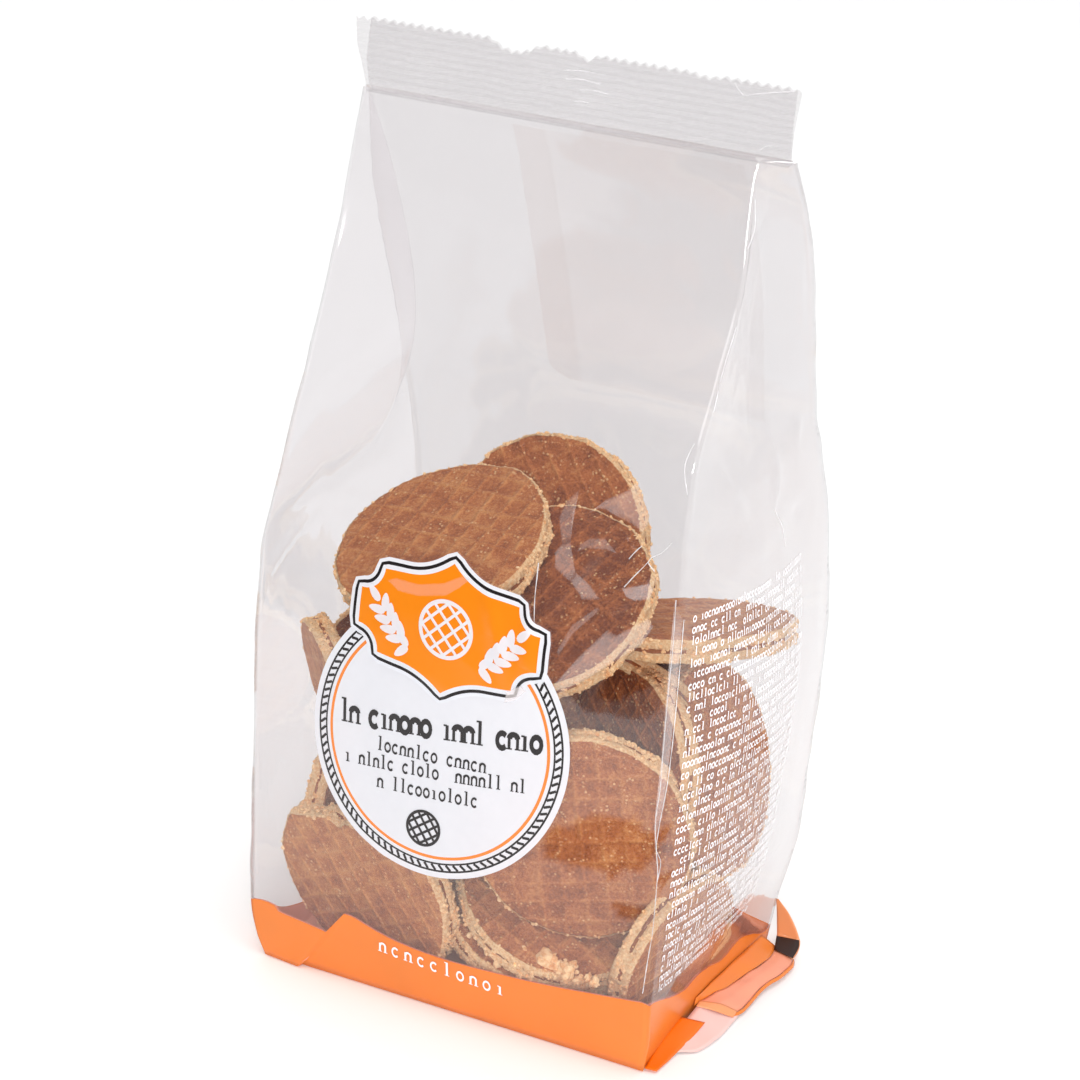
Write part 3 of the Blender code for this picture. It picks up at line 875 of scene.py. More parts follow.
# The block bottom's loose flap and the two rear corner folds.
def baseFolds():
    wall = [(50.9, -32, 0.6), (49.6, -24.7, 1.2), (49.6, -19.8, 2), (49.5, -12.7, 3), (50.2, -7.8, 3.6), (51, -3.9, 4),
            (52.3, 1.4, 4), (53.4, 7.7, 3.5), (54, 15, 3), (55.2, 21, 3), (55.6, 27, 3)]
    rearOuter = [(58.2, -1, 1), (59.2, 3, 1.2), (59.1, 7.6, 1.3), (59, 12, 1.5), (59.3, 16.4, 1.6), (60.4, 22, 1.6),
                 (60.5, 27.5, 1.4), (59.6, 31, 1.2)]
    rearInner = [(51.2, -4, 3.8), (52.4, 1.4, 3.8), (53.4, 5, 3.4), (53.8, 9, 3.2), (54.2, 14, 3), (55.2, 20, 3),
                 (55.6, 26, 2.6), (54.8, 31, 2.4)]
    rearMiddle = [(54.6, -3, 3.4), (55.8, 1.6, 3.0), (56.2, 6, 2.7), (56.4, 10, 2.7), (56.8, 15, 2.6), (57.6, 21, 2.6),
                  (57.8, 27, 2.2), (57.2, 31, 1.8)]
    frontInner = [(50.6, -20, 1.4), (51, -15, 2.2), (51.2, -10, 2.6), (51.2, -4.6, 3.3)]
    frontOuter = [(54.2, -23, 0.4), (58.4, -19, 0.4), (59.8, -10, 0.5), (59.5, 0.6, 0.6)]
    strip = [(51.4, -33.4, 0.5), (50, -24, 1.6), (49.9, -17, 2.8), (50.2, -12.6, 3.3)]
    stripOuter = [(54.2, -33, 0.35), (54.6, -23, 0.6), (55.1, -16.6, 1.3), (55.4, -10, 2.2)]
    skirtTop = [wallPoint("right", -6 + 4.6 * i, 5.4, 0.25) for i in range(9)]
    skirtFoot = [(50.6, -6, 3.2)] + [(x, y, z + 0.15) for x, y, z in rearInner[1:]] + [(54.2, 33, 2.2)]
    foldFront = [(51.2, -6.2, 3.4), (55, -4.4, 2.6), (59, -2, 0.9)]
    foldBack = [(51.2, -4.2, 4), (55, -2, 3.5), (59, 0.2, 1.6)]
    shadowInner = [(53.4, 35, 3.9), (54.2, 32.6, 3.4), (55, 30.2, 2.9)]
    shadowOuter = [(58.8, 36.6, 3.6), (59.7, 34.2, 2.8), (60, 30.2, 2)]
    made = [
        loftSheet("side_foot_skirt", [skirtTop, skirtFoot], 36, 6, orangeFilm, 0.15),
        loftSheet("flap_fold", [foldFront, foldBack], 16, 4, cornerPrint, 0.1),
        # a near-black sheet in the open corner fold: painted shade, not a part of the bag
        loftSheet("corner_fold_painted_shade", [shadowInner, shadowOuter], 12, 4, foldShadow, 0.0),
        loftSheet("flap_inside", [rearInner, rearMiddle, rearOuter], 36, 10, flapSalmon, 0.35),
        loftSheet("flap_underside", [frontInner, frontOuter], 24, 8, flapPale, 0.25),
        loftSheet("flap_print_strip", [strip, stripOuter], 24, 6, orangeDeep, 0.2),
    ]
    edgeTop = [(x + 0.25, y, z + 0.12) for x, y, z in rearOuter]
    edgeLow = [(x + 0.7, y - 0.3, z - 0.5) for x, y, z in rearOuter]
    made.append(loftSheet("flap_edge", [edgeTop, edgeLow], 36, 2, orangeFilm, 0.0, 0.3))
    # right rear corner: it stands up beside the back panel and turns down on to the floor
    earInner = [(51.4, 37.6, 12.2), (51.8, 37.7, 9), (52.2, 37.6, 5.6), (52.6, 37.2, 3.4), (53, 35.8, 2.6),
                (54.2, 32.6, 2.2), (55, 30.4, 2.2)]
    earOuter = [(51.9, 37.6, 12.4), (55, 37.6, 9.4), (57.4, 37.5, 5.8), (58.6, 37.4, 3.3), (59.3, 36, 2.3),
                (59.8, 32.8, 1.5), (59.7, 30.4, 1.2)]
    made.append(loftSheet("right_corner_fold", [earInner, earOuter], 30, 8, cornerPrint, 0.15))
    leftInner = [(-51.4, 37.2, 12.2), (-51.6, 37.3, 7), (-51.8, 37.2, 3), (-52, 37, 0.6)]
    leftOuter = [(-52.2, 37.2, 12.4), (-56, 37.3, 7.4), (-58.2, 37.2, 3.2), (-57, 37, 0.6)]
    made.append(loftSheet("left_corner_fold", [leftInner, leftOuter], 20, 8, orangeFilm, 0.15))
    return made


orangeDeep = printedFilm("orange_ink_double_layer", "F77400", 0.3, 0.05)
flapSalmon = printedFilm("flap_inside_salmon", "FBA584", 0.32, 0.1)
flapPale = printedFilm("flap_underside_pale_pink", "F6CFC8", 0.3, 0.06)
cornerPrint = printedFilm("corner_fold_print", "F5A06C", 0.28, 0.1)
# painted shade: a near-black sheet stands for the shadow inside the open corner fold
foldShadow = printedFilm("painted_shade_in_open_fold", "2A0F06", 0.5, 0.1)
sealPiece = crimpedSeal()
lining = bandLining()
folds = baseFolds()
print("seal, lining and base folds ready")


# Print on the front: a round paper-white label with a rope border, and an orange plaque.
label = {
    "middle": (-1.5, 71.2), "stretch": 0.045, "stretchAngle": 58,
    "edge": 33.4, "outerLine": (31.45, 31.95), "rope": (30.05, 31.45), "innerLine": (29.6, 30.05),
    "orangeLine": (28.0, 28.75), "strokes": 100, "strokeWidth": 0.62, "strokeSlant": 1.05, "lift": 0.22,
}


def labelPlace(u, v, lift):
    turn = math.radians(label["stretchAngle"])
    along = u * math.cos(turn) + v * math.sin(turn)
    aside = v * math.cos(turn) - u * math.sin(turn)
    along *= 1 + label["stretch"]
    aside *= 1 - label["stretch"]
    x = label["middle"][0] + along * math.cos(turn) - aside * math.sin(turn)
    z = label["middle"][1] + along * math.sin(turn) + aside * math.cos(turn)
    return wallPoint("front", x, z, lift)


def frontPlace(x, z, lift):
    return wallPoint("front", x, z, lift)


def inkMaterial(name, colour, roughness=0.22, glow=0.0):
    # reverse-printed ink keeps the film's gloss over a flat colour; the white lets some light through
    material, tree = newMaterial(name)
    place = addNode(tree, "ShaderNodeTexCoord")
    cloud = addNode(tree, "ShaderNodeTexNoise", {"Scale": 420.0, "Detail": 2.0}, {"Vector": place.outputs["Object"]})
    shade = addNode(tree, "ShaderNodeMapRange", {"To Min": 0.96, "To Max": 1.0}, {"Value": cloud.outputs[0]})
    ink = addNode(tree, "ShaderNodeMix", {0: 1.0, 6: toLinear(colour)}, {7: shade.outputs[0]}, data_type="RGBA",
                  blend_type="MULTIPLY")
    face = addNode(tree, "ShaderNodeBsdfPrincipled", {"Roughness": roughness, "IOR": 1.5}, {"Base Color": ink.outputs[2]})
    back = addNode(tree, "ShaderNodeBsdfTranslucent", links={"Color": ink.outputs[2]})
    endMaterial(tree, addNode(tree, "ShaderNodeMixShader", {0: glow}, {1: face.outputs[0], 2: back.outputs[0]}))
    return material


whiteInk = inkMaterial("opaque_white_ink", "F4F5FB", glow=0.25)
blackInk = inkMaterial("black_ink", "221D1E")
orangeInk = inkMaterial("orange_line_ink", "E8812F")
plaqueInk = inkMaterial("warm_orange_ink", "EE8410")
paleInk = inkMaterial("thin_white_ink", "F4F2F5", 0.3)


def labelDisc():
    steps = [0, 3, 7, 11, 15, 19, 23, 26, 28.0, 28.75, 29.6, 30.05, 31.45, 31.95, 33.4]
    inks = [0] * 8 + [1, 0, 2, 0, 2, 0]
    segments = 180
    points = [labelPlace(0, 0, label["lift"])]
    faces, slots = [], []
    for row, radius in enumerate(steps[1:]):
        for k in range(segments):
            angle = 2 * math.pi * k / segments
            points.append(labelPlace(radius * math.cos(angle), radius * math.sin(angle), label["lift"]))
    for k in range(segments):
        j = (k + 1) % segments
        faces.append((0, 1 + k, 1 + j))
        slots.append(0)
        for row in range(len(steps) - 2):
            a = 1 + row * segments
            b = a + segments
            faces.append((a + k, b + k, b + j, a + j))
            slots.append(inks[row + 1])
    return meshPiece("round_label", points, faces, [whiteInk, orangeInk, blackInk], slots)


def newTree(name, inputs):
    tree = bpy.data.node_groups.new(name, "GeometryNodeTree")
    for title, kind, value in inputs:
        socket = tree.interface.new_socket(name=title, in_out="INPUT", socket_type=kind)
        if value is not None:
            socket.default_value = value
    tree.interface.new_socket(name="Geometry", in_out="OUTPUT", socket_type="NodeSocketGeometry")
    return tree, addNode(tree, "NodeGroupInput"), addNode(tree, "NodeGroupOutput")


def evaluateTree(name, tree, values, material, source=None):
    # runs a tree on a carrier and returns the plain mesh it makes
    carrier = bpy.data.objects.new(name + "_carrier", source.data if source else bpy.data.meshes.new(name))
    bpy.context.scene.collection.objects.link(carrier)
    modifier = carrier.modifiers.new(name, "NODES")
    modifier.node_group = tree
    identifiers = {item.name: item.identifier for item in tree.interface.items_tree if item.in_out == "INPUT"}
    for title, value in values.items():
        modifier[identifiers[title]] = value
    modifier[identifiers["Material"]] = material
    mesh = bpy.data.meshes.new_from_object(carrier.evaluated_get(bpy.context.evaluated_depsgraph_get()))
    bpy.data.objects.remove(carrier, do_unlink=True)
    return mesh


def ropeTree():
    # slanting strokes set round a circle
    tree, inputs, output = newTree("rope_border", [
        ("Radius", "NodeSocketFloat", 0.03), ("Strokes", "NodeSocketInt", 100), ("Width", "NodeSocketFloat", 0.0006),
        ("Length", "NodeSocketFloat", 0.0014), ("Slant", "NodeSocketFloat", 0.6),
        ("Material", "NodeSocketMaterial", None)])
    circle = addNode(tree, "GeometryNodeMeshCircle", links={"Vertices": inputs.outputs["Strokes"],
                                                            "Radius": inputs.outputs["Radius"]})
    stroke = addNode(tree, "GeometryNodeMeshGrid", {"Vertices X": 2, "Vertices Y": 3},
                     {"Size X": inputs.outputs["Width"], "Size Y": inputs.outputs["Length"]})
    place = addNode(tree, "GeometryNodeInputPosition")
    facing = addNode(tree, "FunctionNodeAlignRotationToVector", links={"Vector": place.outputs[0]}, axis="Y")
    turned = addNode(tree, "FunctionNodeRotateRotation", links={"Rotation": facing.outputs[0]},
                     rotation_space="LOCAL")
    slant = addNode(tree, "FunctionNodeAxisAngleToRotation", {"Axis": (0, 0, 1)}, {"Angle": inputs.outputs["Slant"]})
    tree.links.new(slant.outputs[0], turned.inputs["Rotate By"])
    spread = addNode(tree, "GeometryNodeInstanceOnPoints", links={
        "Points": circle.outputs[0], "Instance": stroke.outputs[0], "Rotation": turned.outputs[0]})
    real = addNode(tree, "GeometryNodeRealizeInstances", links={0: spread.outputs[0]})
    done = addNode(tree, "GeometryNodeSetMaterial", links={"Geometry": real.outputs[0],
                                                           "Material": inputs.outputs["Material"]})
    tree.links.new(done.outputs[0], output.inputs[0])
    return tree


def flatToFilm(mesh, name, place, lift):
    # a flat mesh in (u, v) metres is laid on the film
    for vertex in mesh.vertices:
        x, y, z = place(vertex.co.x * 1000, vertex.co.y * 1000, lift + vertex.co.z * 1000)
        vertex.co = (x * mm, y * mm, z * mm)
    mesh.update()
    piece = bpy.data.objects.new(name, mesh)
    bpy.context.scene.collection.objects.link(piece)
    return piece


def ropeBorder():
    inner, outer = label["rope"]
    slant = math.atan2(label["strokeSlant"], outer - inner)
    mesh = evaluateTree("rope_border", ropeTree(), {
        "Radius": (inner + outer) / 2000, "Strokes": label["strokes"], "Width": label["strokeWidth"] / 1000,
        "Length": (outer - inner) / math.cos(slant) / 1000, "Slant": slant}, blackInk)
    return flatToFilm(mesh, "rope_border", labelPlace, label["lift"] + 0.07)


def glyphShapes(tree, inputs):
    # five plain marks, one high and about 0.6 wide: ring, arch, tall stem, open ring and short stem
    stroke = inputs.outputs["Stroke"]
    flat = addNode(tree, "GeometryNodeCurvePrimitiveLine", {"Start": (-0.5, 0, 0), "End": (0.5, 0, 0)})
    nib = addNode(tree, "GeometryNodeTransform", links={"Geometry": flat.outputs[0]})
    size = addNode(tree, "ShaderNodeCombineXYZ", {1: 1.0, 2: 1.0}, {0: stroke})
    tree.links.new(size.outputs[0], nib.inputs["Scale"])

    def inked(curve, scale=(1, 1, 1), move=(0, 0, 0)):
        band = addNode(tree, "GeometryNodeCurveToMesh", links={"Curve": curve.outputs[0],
                                                               "Profile Curve": nib.outputs[0]})
        return addNode(tree, "GeometryNodeTransform", {"Scale": scale, "Translation": move},
                       {"Geometry": band.outputs[0]})

    def bar(wide, high, x, y):
        box = addNode(tree, "GeometryNodeMeshGrid", {"Size X": wide, "Size Y": high, "Vertices X": 2, "Vertices Y": 2})
        return addNode(tree, "GeometryNodeTransform", {"Translation": (x, y, 0)}, {"Geometry": box.outputs[0]})

    def joined(parts):
        join = addNode(tree, "GeometryNodeJoinGeometry")
        for part in parts:
            tree.links.new(part.outputs[0], join.inputs[0])
        return join

    circle = addNode(tree, "GeometryNodeCurvePrimitiveCircle", {"Resolution": 14, "Radius": 0.4}, mode="RADIUS")
    ring = inked(circle, (0.72, 1.05, 1), (0, 0.45, 0))
    half = addNode(tree, "GeometryNodeCurveArc", {"Resolution": 9, "Radius": 0.24, "Start Angle": 0.0,
                                                  "Sweep Angle": math.pi}, mode="RADIUS")
    arch = joined([inked(half, (1, 1, 1), (0, 0.62, 0)), bar(0.17, 0.82, -0.25, 0.43), bar(0.17, 0.62, 0.24, 0.32),
                   bar(0.34, 0.08, -0.25, 0.04), bar(0.34, 0.08, 0.26, 0.04)])
    tall = joined([bar(0.19, 1.38, 0, 0.69), bar(0.4, 0.08, 0, 0.04), bar(0.2, 0.1, -0.12, 1.33)])
    gapRing = addNode(tree, "GeometryNodeCurveArc", {"Resolution": 13, "Radius": 0.4, "Start Angle": 0.75,
                                                     "Sweep Angle": 4.75}, mode="RADIUS")
    opened = inked(gapRing, (0.72, 1.05, 1), (0, 0.45, 0))
    short = joined([bar(0.19, 0.86, 0, 0.43), bar(0.4, 0.08, 0, 0.04), bar(0.2, 0.1, -0.12, 0.84)])
    return joined([addNode(tree, "GeometryNodeGeometryToInstance", links={0: shape.outputs[0]})
                   for shape in (ring, arch, tall, opened, short)])


def marksTree():
    # rows of marks that stand for print: random marks, random gaps between words
    tree, inputs, output = newTree("rows_of_marks", [
        ("Row Length", "NodeSocketFloat", 0.05), ("Rows", "NodeSocketInt", 8), ("Row Pitch", "NodeSocketFloat", 0.003),
        ("Pitch", "NodeSocketFloat", 0.0012), ("Height", "NodeSocketFloat", 0.0015),
        ("Stroke", "NodeSocketFloat", 0.2), ("Gap Share", "NodeSocketFloat", 0.16), ("Seed", "NodeSocketInt", 3),
        ("Material", "NodeSocketMaterial", None)])
    count = addNode(tree, "ShaderNodeMath", links={0: inputs.outputs["Row Length"], 1: inputs.outputs["Pitch"]},
                    operation="DIVIDE")
    deep = addNode(tree, "ShaderNodeMath", {1: 1.0}, {0: inputs.outputs["Rows"]}, operation="SUBTRACT")
    deep = addNode(tree, "ShaderNodeMath", links={0: deep.outputs[0], 1: inputs.outputs["Row Pitch"]},
                   operation="MULTIPLY")
    grid = addNode(tree, "GeometryNodeMeshGrid", links={
        "Size X": inputs.outputs["Row Length"], "Size Y": deep.outputs[0], "Vertices X": count.outputs[0],
        "Vertices Y": inputs.outputs["Rows"]})
    gaps = addNode(tree, "FunctionNodeRandomValue", links={"Probability": inputs.outputs["Gap Share"],
                                                           "Seed": inputs.outputs["Seed"]}, data_type="BOOLEAN")
    kept = addNode(tree, "FunctionNodeBooleanMath", links={0: gaps.outputs[3]}, operation="NOT")
    choice = addNode(tree, "FunctionNodeRandomValue", {4: 0, 5: 4}, {"Seed": inputs.outputs["Seed"]}, data_type="INT")
    spread = addNode(tree, "GeometryNodeInstanceOnPoints", {"Pick Instance": True}, {
        "Points": grid.outputs[0], "Selection": kept.outputs[0], "Instance": glyphShapes(tree, inputs).outputs[0],
        "Instance Index": choice.outputs[2], "Scale": inputs.outputs["Height"]})
    real = addNode(tree, "GeometryNodeRealizeInstances", links={0: spread.outputs[0]})
    done = addNode(tree, "GeometryNodeSetMaterial", links={"Geometry": real.outputs[0],
                                                           "Material": inputs.outputs["Material"]})
    tree.links.new(done.outputs[0], output.inputs[0])
    return tree


marks = marksTree()
# Middle of each row from the label's middle, length, pitch and height of the marks, in millimetres.
labelRows = [
    {"at": (0.3, 1.0), "length": 50, "pitch": 2.6, "height": 4.2, "gap": 0.1, "seed": 14, "slope": 4.0, "stroke": 0.32},
    {"at": (-0.8, -4.9), "length": 27, "pitch": 1.9, "height": 2.5, "gap": 0.1, "seed": 9, "slope": 1.5, "stroke": 0.22},
    {"at": (0.0, -8.8), "length": 46, "pitch": 1.9, "height": 2.5, "gap": 0.16, "seed": 22, "slope": 3.5, "stroke": 0.22},
    {"at": (-1.0, -13.8), "length": 25, "pitch": 1.9, "height": 2.5, "gap": 0.08, "seed": 31, "slope": 2.5, "stroke": 0.22},
]
sideText = {"rows": 35, "top": 111, "pitch": 2.65, "start": -33.4, "length": 47, "letter": 1.1, "seed": 71}
bandText = {"at": (0.2, 10.9), "length": 31, "pitch": 3.0, "height": 2.9, "gap": 0.1, "seed": 12, "slope": -3.2, "stroke": 0.2}


def rowOfMarks(name, row, ink, place, lift):
    mesh = evaluateTree(name, marks, {
        "Row Length": row["length"] / 1000, "Rows": 1, "Row Pitch": 0.001, "Pitch": row["pitch"] / 1000,
        "Height": row["height"] / 1000, "Stroke": row["stroke"], "Gap Share": row["gap"], "Seed": row["seed"]}, ink)
    slope = math.radians(row["slope"])
    for vertex in mesh.vertices:
        u, v = vertex.co.x, vertex.co.y
        vertex.co.x = u * math.cos(slope) - v * math.sin(slope) + row["at"][0] / 1000
        vertex.co.y = u * math.sin(slope) + v * math.cos(slope) + row["at"][1] / 1000
    return flatToFilm(mesh, name, place, lift)


def sidePlace(u, v, lift):
    return wallPoint("right", u, v, lift)


def sidePrint():
    mesh = evaluateTree("side_text", marks, {
        "Row Length": sideText["length"] / 1000, "Rows": sideText["rows"], "Row Pitch": sideText["pitch"] / 1000,
        "Pitch": sideText["letter"] / 1000, "Height": 0.0015, "Stroke": 0.26, "Gap Share": 0.14,
        "Seed": sideText["seed"]}, paleInk)
    middleY = sideText["start"] + sideText["length"] / 2
    middleZ = sideText["top"] - sideText["pitch"] * (sideText["rows"] - 1) / 2
    for vertex in mesh.vertices:
        vertex.co.x += middleY / 1000
        vertex.co.y += middleZ / 1000
    return flatToFilm(mesh, "side_small_print", sidePlace, 0.16)


# Plaque: a ticket with hollow corners and a small peak above and below; its rims are white, black, white.
plaque = {
    "middle": (-0.5, 98.2), "half": (22.7, 9.7), "hollow": 5.6, "peakTop": 4.6, "peakFoot": 4.2, "tilt": -1.0,
    "rims": [(1, 1.0), (2, 1.75), (1, 2.6)], "lift": 0.42,
}


def plaqueOutline():
    # anticlockwise from the right middle; every corner is a quarter circle cut inwards
    w, h = plaque["half"]
    hollow = plaque["hollow"]

    def quarter(peak):
        side = [(w, (h - hollow) * i / 5) for i in range(6)]
        arc = [(w - hollow * math.sin(a), h - hollow * math.cos(a)) for a in [math.pi / 24 * i for i in range(1, 12)]]
        top = []
        for i in range(31):
            share = 1 - i / 30
            top.append(((w - hollow) * share, h + peak * (max(0.0, 1 - 1.5 * share) ** 2.2) + 0.9 * (1 - share ** 2)))
        return side + arc + top

    upper = quarter(plaque["peakTop"])
    lower = quarter(plaque["peakFoot"])
    return (upper + [(-x, z) for x, z in upper[-2::-1]] + [(-x, -z) for x, z in lower[1:]]
            + [(x, -z) for x, z in lower[-2:0:-1]])


def grownOutline(outline, grow):
    grown = []
    count = len(outline)
    for k in range(count):
        (ax, az), (bx, bz) = outline[k - 1], outline[(k + 1) % count]
        run = math.hypot(bx - ax, bz - az)
        grown.append((outline[k][0] + grow * (bz - az) / run, outline[k][1] - grow * (bx - ax) / run))
    return grown


def plaquePlace(u, v, lift):
    tilt = math.radians(plaque["tilt"])
    return wallPoint("front", plaque["middle"][0] + u * math.cos(tilt) - v * math.sin(tilt),
                     plaque["middle"][1] + u * math.sin(tilt) + v * math.cos(tilt), lift)


def filledShape(name, outline, place, lift, material, rings=9):
    # a fan of rings from the middle to the outline
    count = len(outline)
    middleU = sum(u for u, v in outline) / count
    middleV = sum(v for u, v in outline) / count
    points = [place(middleU, middleV, lift)]
    faces = []
    for ring in range(1, rings + 1):
        share = ring / rings
        points += [place(middleU + (u - middleU) * share, middleV + (v - middleV) * share, lift) for u, v in outline]
    for k in range(count):
        j = (k + 1) % count
        faces.append((0, 1 + k, 1 + j))
        for ring in range(rings - 1):
            a = 1 + ring * count
            faces.append((a + k, a + count + k, a + count + j, a + j))
    return meshPiece(name, points, faces, [material])


def joinPieces(name, parts):
    shapes = bmesh.new()
    for part in parts:
        shapes.from_mesh(part.data)
    mesh = bpy.data.meshes.new(name)
    shapes.to_mesh(mesh)
    shapes.free()
    for material in parts[0].data.materials:
        mesh.materials.append(material)
    for part in parts:
        bpy.data.objects.remove(part, do_unlink=True)
    piece = bpy.data.objects.new(name, mesh)
    bpy.context.scene.collection.objects.link(piece)
    return piece


# Ornament on the plaque: a small round waffle between two curved ears of wheat.
emblem = {"waffle": 6.9, "rim": 0.95, "bars": 4, "bar": 0.7, "grain": (2.15, 1.02), "grains": 6, "lift": 0.6}


def emblemPieces():
    parts = []
    outer, rim = emblem["waffle"], emblem["rim"]
    circle = [2 * math.pi * k / 48 for k in range(48)]
    points = [plaquePlace(r * math.cos(a), r * math.sin(a) + 0.3, emblem["lift"]) for r in (outer - rim, outer)
              for a in circle]
    faces = [(k, 48 + k, 48 + (k + 1) % 48, (k + 1) % 48) for k in range(48)]
    parts.append(meshPiece("rim", points, faces, [whiteInk]))
    for number in range(emblem["bars"]):
        offset = (number - (emblem["bars"] - 1) / 2) * 2 * (outer - rim) / (emblem["bars"] + 0.2)
        reach = math.sqrt((outer - rim / 2) ** 2 - offset ** 2)
        half = emblem["bar"] / 2
        for turned in (False, True):
            bar = [(-reach, offset - half), (reach, offset - half), (reach, offset + half), (-reach, offset + half)]
            if turned:
                bar = [(v, -u) for u, v in bar]
            bar = [(u * 0.707 - v * 0.707, u * 0.707 + v * 0.707 + 0.3) for u, v in bar]
            parts.append(filledShape("bar", bar, plaquePlace, emblem["lift"] + 0.02 * turned, whiteInk, 3))
    long, wide = emblem["grain"]
    for side in (-1, 1):
        for number in range(emblem["grains"]):
            share = number / (emblem["grains"] - 1)
            u = side * (9.2 + 8.4 * share)
            v = -6.2 + 8.4 * share ** 1.2
            heading = math.atan2(9.9 * share ** 0.3 + 0.1, 9.4)
            for lean in ((-0.75, 0.75) if number < emblem["grains"] - 1 else (0,)):
                turn = heading + lean
                leaf = []
                for k in range(14):
                    a = 2 * math.pi * k / 14
                    along = long * (1 + math.cos(a))
                    aside = wide * math.sin(a) * (1 - 0.25 * math.cos(a))
                    leaf.append((u + side * (along * math.cos(turn) - aside * math.sin(turn)),
                                 v + along * math.sin(turn) + aside * math.cos(turn)))
                leaf = leaf if side > 0 else leaf[::-1]
                parts.append(filledShape("grain", leaf, plaquePlace, emblem["lift"], whiteInk, 2))
    return joinPieces("wheat_and_waffle_ornament", parts)


def labelOrnament():
    # a small black roundel with a waffle grid at the foot of the label
    parts = []
    outer = 4.6
    circle = [2 * math.pi * k / 40 for k in range(40)]
    points = [labelPlace(r * math.cos(a) - 1.3, r * math.sin(a) - 21.6, 0.3) for r in (outer - 0.7, outer)
              for a in circle]
    parts.append(meshPiece("rim", points, [(k, 40 + k, 40 + (k + 1) % 40, (k + 1) % 40) for k in range(40)],
                           [blackInk]))
    for number in range(4):
        offset = (number - 1.5) * 1.9
        reach = math.sqrt((outer - 0.4) ** 2 - offset ** 2)
        for turned in (False, True):
            bar = [(-reach, offset - 0.3), (reach, offset - 0.3), (reach, offset + 0.3), (-reach, offset + 0.3)]
            if turned:
                bar = [(v, -u) for u, v in bar]
            bar = [(u * 0.82 - v * 0.57 - 1.3, u * 0.57 + v * 0.82 - 21.6) for u, v in bar]
            parts.append(filledShape("bar", bar, labelPlace, 0.3 + 0.02 * turned, blackInk, 3))
    return joinPieces("label_waffle_mark", parts)


def plaquePiece():
    outline = plaqueOutline()
    rings = [[(u * share, v * share) for u, v in outline] for share in [i / 18 for i in range(1, 19)]]
    slots = [0] * 18
    for slot, grow in plaque["rims"]:
        for share in (0.5, 1.0):
            before = plaque["rims"][plaque["rims"].index((slot, grow)) - 1][1] if grow > 1 else 0.0
            rings.append(grownOutline(outline, before + (grow - before) * share))
            slots.append(slot)
    count = len(outline)
    points = [plaquePlace(0, 0, plaque["lift"])]
    faces, parts = [], []
    for ring in rings:
        points += [plaquePlace(u, v, plaque["lift"]) for u, v in ring]
    for k in range(count):
        j = (k + 1) % count
        faces.append((0, 1 + k, 1 + j))
        parts.append(0)
        for row in range(len(rings) - 1):
            a = 1 + row * count
            faces.append((a + k, a + count + k, a + count + j, a + j))
            parts.append(slots[row + 1])
    return meshPiece("orange_plaque", points, faces, [plaqueInk, whiteInk, blackInk], parts)


# Sharp creases of the film, drawn as thin ridges in a white painted highlight: panel, then points along it.
creases = {
    "thickness": 0.32,
    "lines": [
        ("front", [(19.6, 118), (19.8, 114.7), (20, 110), (20.4, 105.5), (21, 97.2), (20.6, 93)]),
        ("front", [(11, 107.7), (11.8, 105.2), (13.5, 99.4), (14.7, 95.8), (17.4, 91.7), (20, 91.6)]),
        ("front", [(40.1, 117.2), (42.4, 120.4), (45, 123.9), (45.6, 125), (47.9, 126.6), (49.9, 129.2)]),
        ("front", [(45, 123.9), (45.8, 123.2), (46.8, 122.3)]),
        ("front", [(40.2, 123.3), (41.5, 125.2), (43.1, 127)]),
        ("front", [(51.9, 116.7), (52.1, 105.3), (51.9, 97.7), (51.8, 80.1), (51.8, 73.1), (51.3, 64.9), (51.9, 58.3),
                   (52.7, 51.7), (52.7, 46.2), (52.6, 38.2), (52, 30.6), (51.4, 22)]),
        ("front", [(54, 112.7), (53.9, 98), (53.7, 85), (53.4, 76.5), (52.8, 69), (52.2, 63.4), (51.9, 58.3),
                   (53.2, 54.9), (52.8, 50.6)]),
        ("right", [(-1.6, 127.6), (1, 123.4), (4.2, 117.3)]),
        ("front", [(50.5, 171), (51.2, 163), (52.4, 156)]),
        ("front", [(50.8, 150), (50.2, 146), (52.0, 140)]),
        ("front", [(47.6, 196), (48.8, 190), (48.2, 186)]),
        ("seal", [(-0.4, 215.8), (4, 216.3), (9.1, 216.2)]),
        ("seal", [(-0.2, 213.9), (3.6, 214.4), (8, 214.1)]),
        ("seal", [(3.3, 212), (6.6, 212.5), (10.1, 212.2)]),
        ("seal", [(2.3, 209.4), (4, 209.7), (5.4, 209.5)]),
        ("seal", [(39.6, 219.3), (40.6, 218), (41.8, 217)]),
        ("seal", [(42.2, 217.1), (46, 218.1), (53, 219.6)]),
        ("seal", [(46.6, 206), (47.6, 206.9), (48.8, 207.2)]),
    ],
}


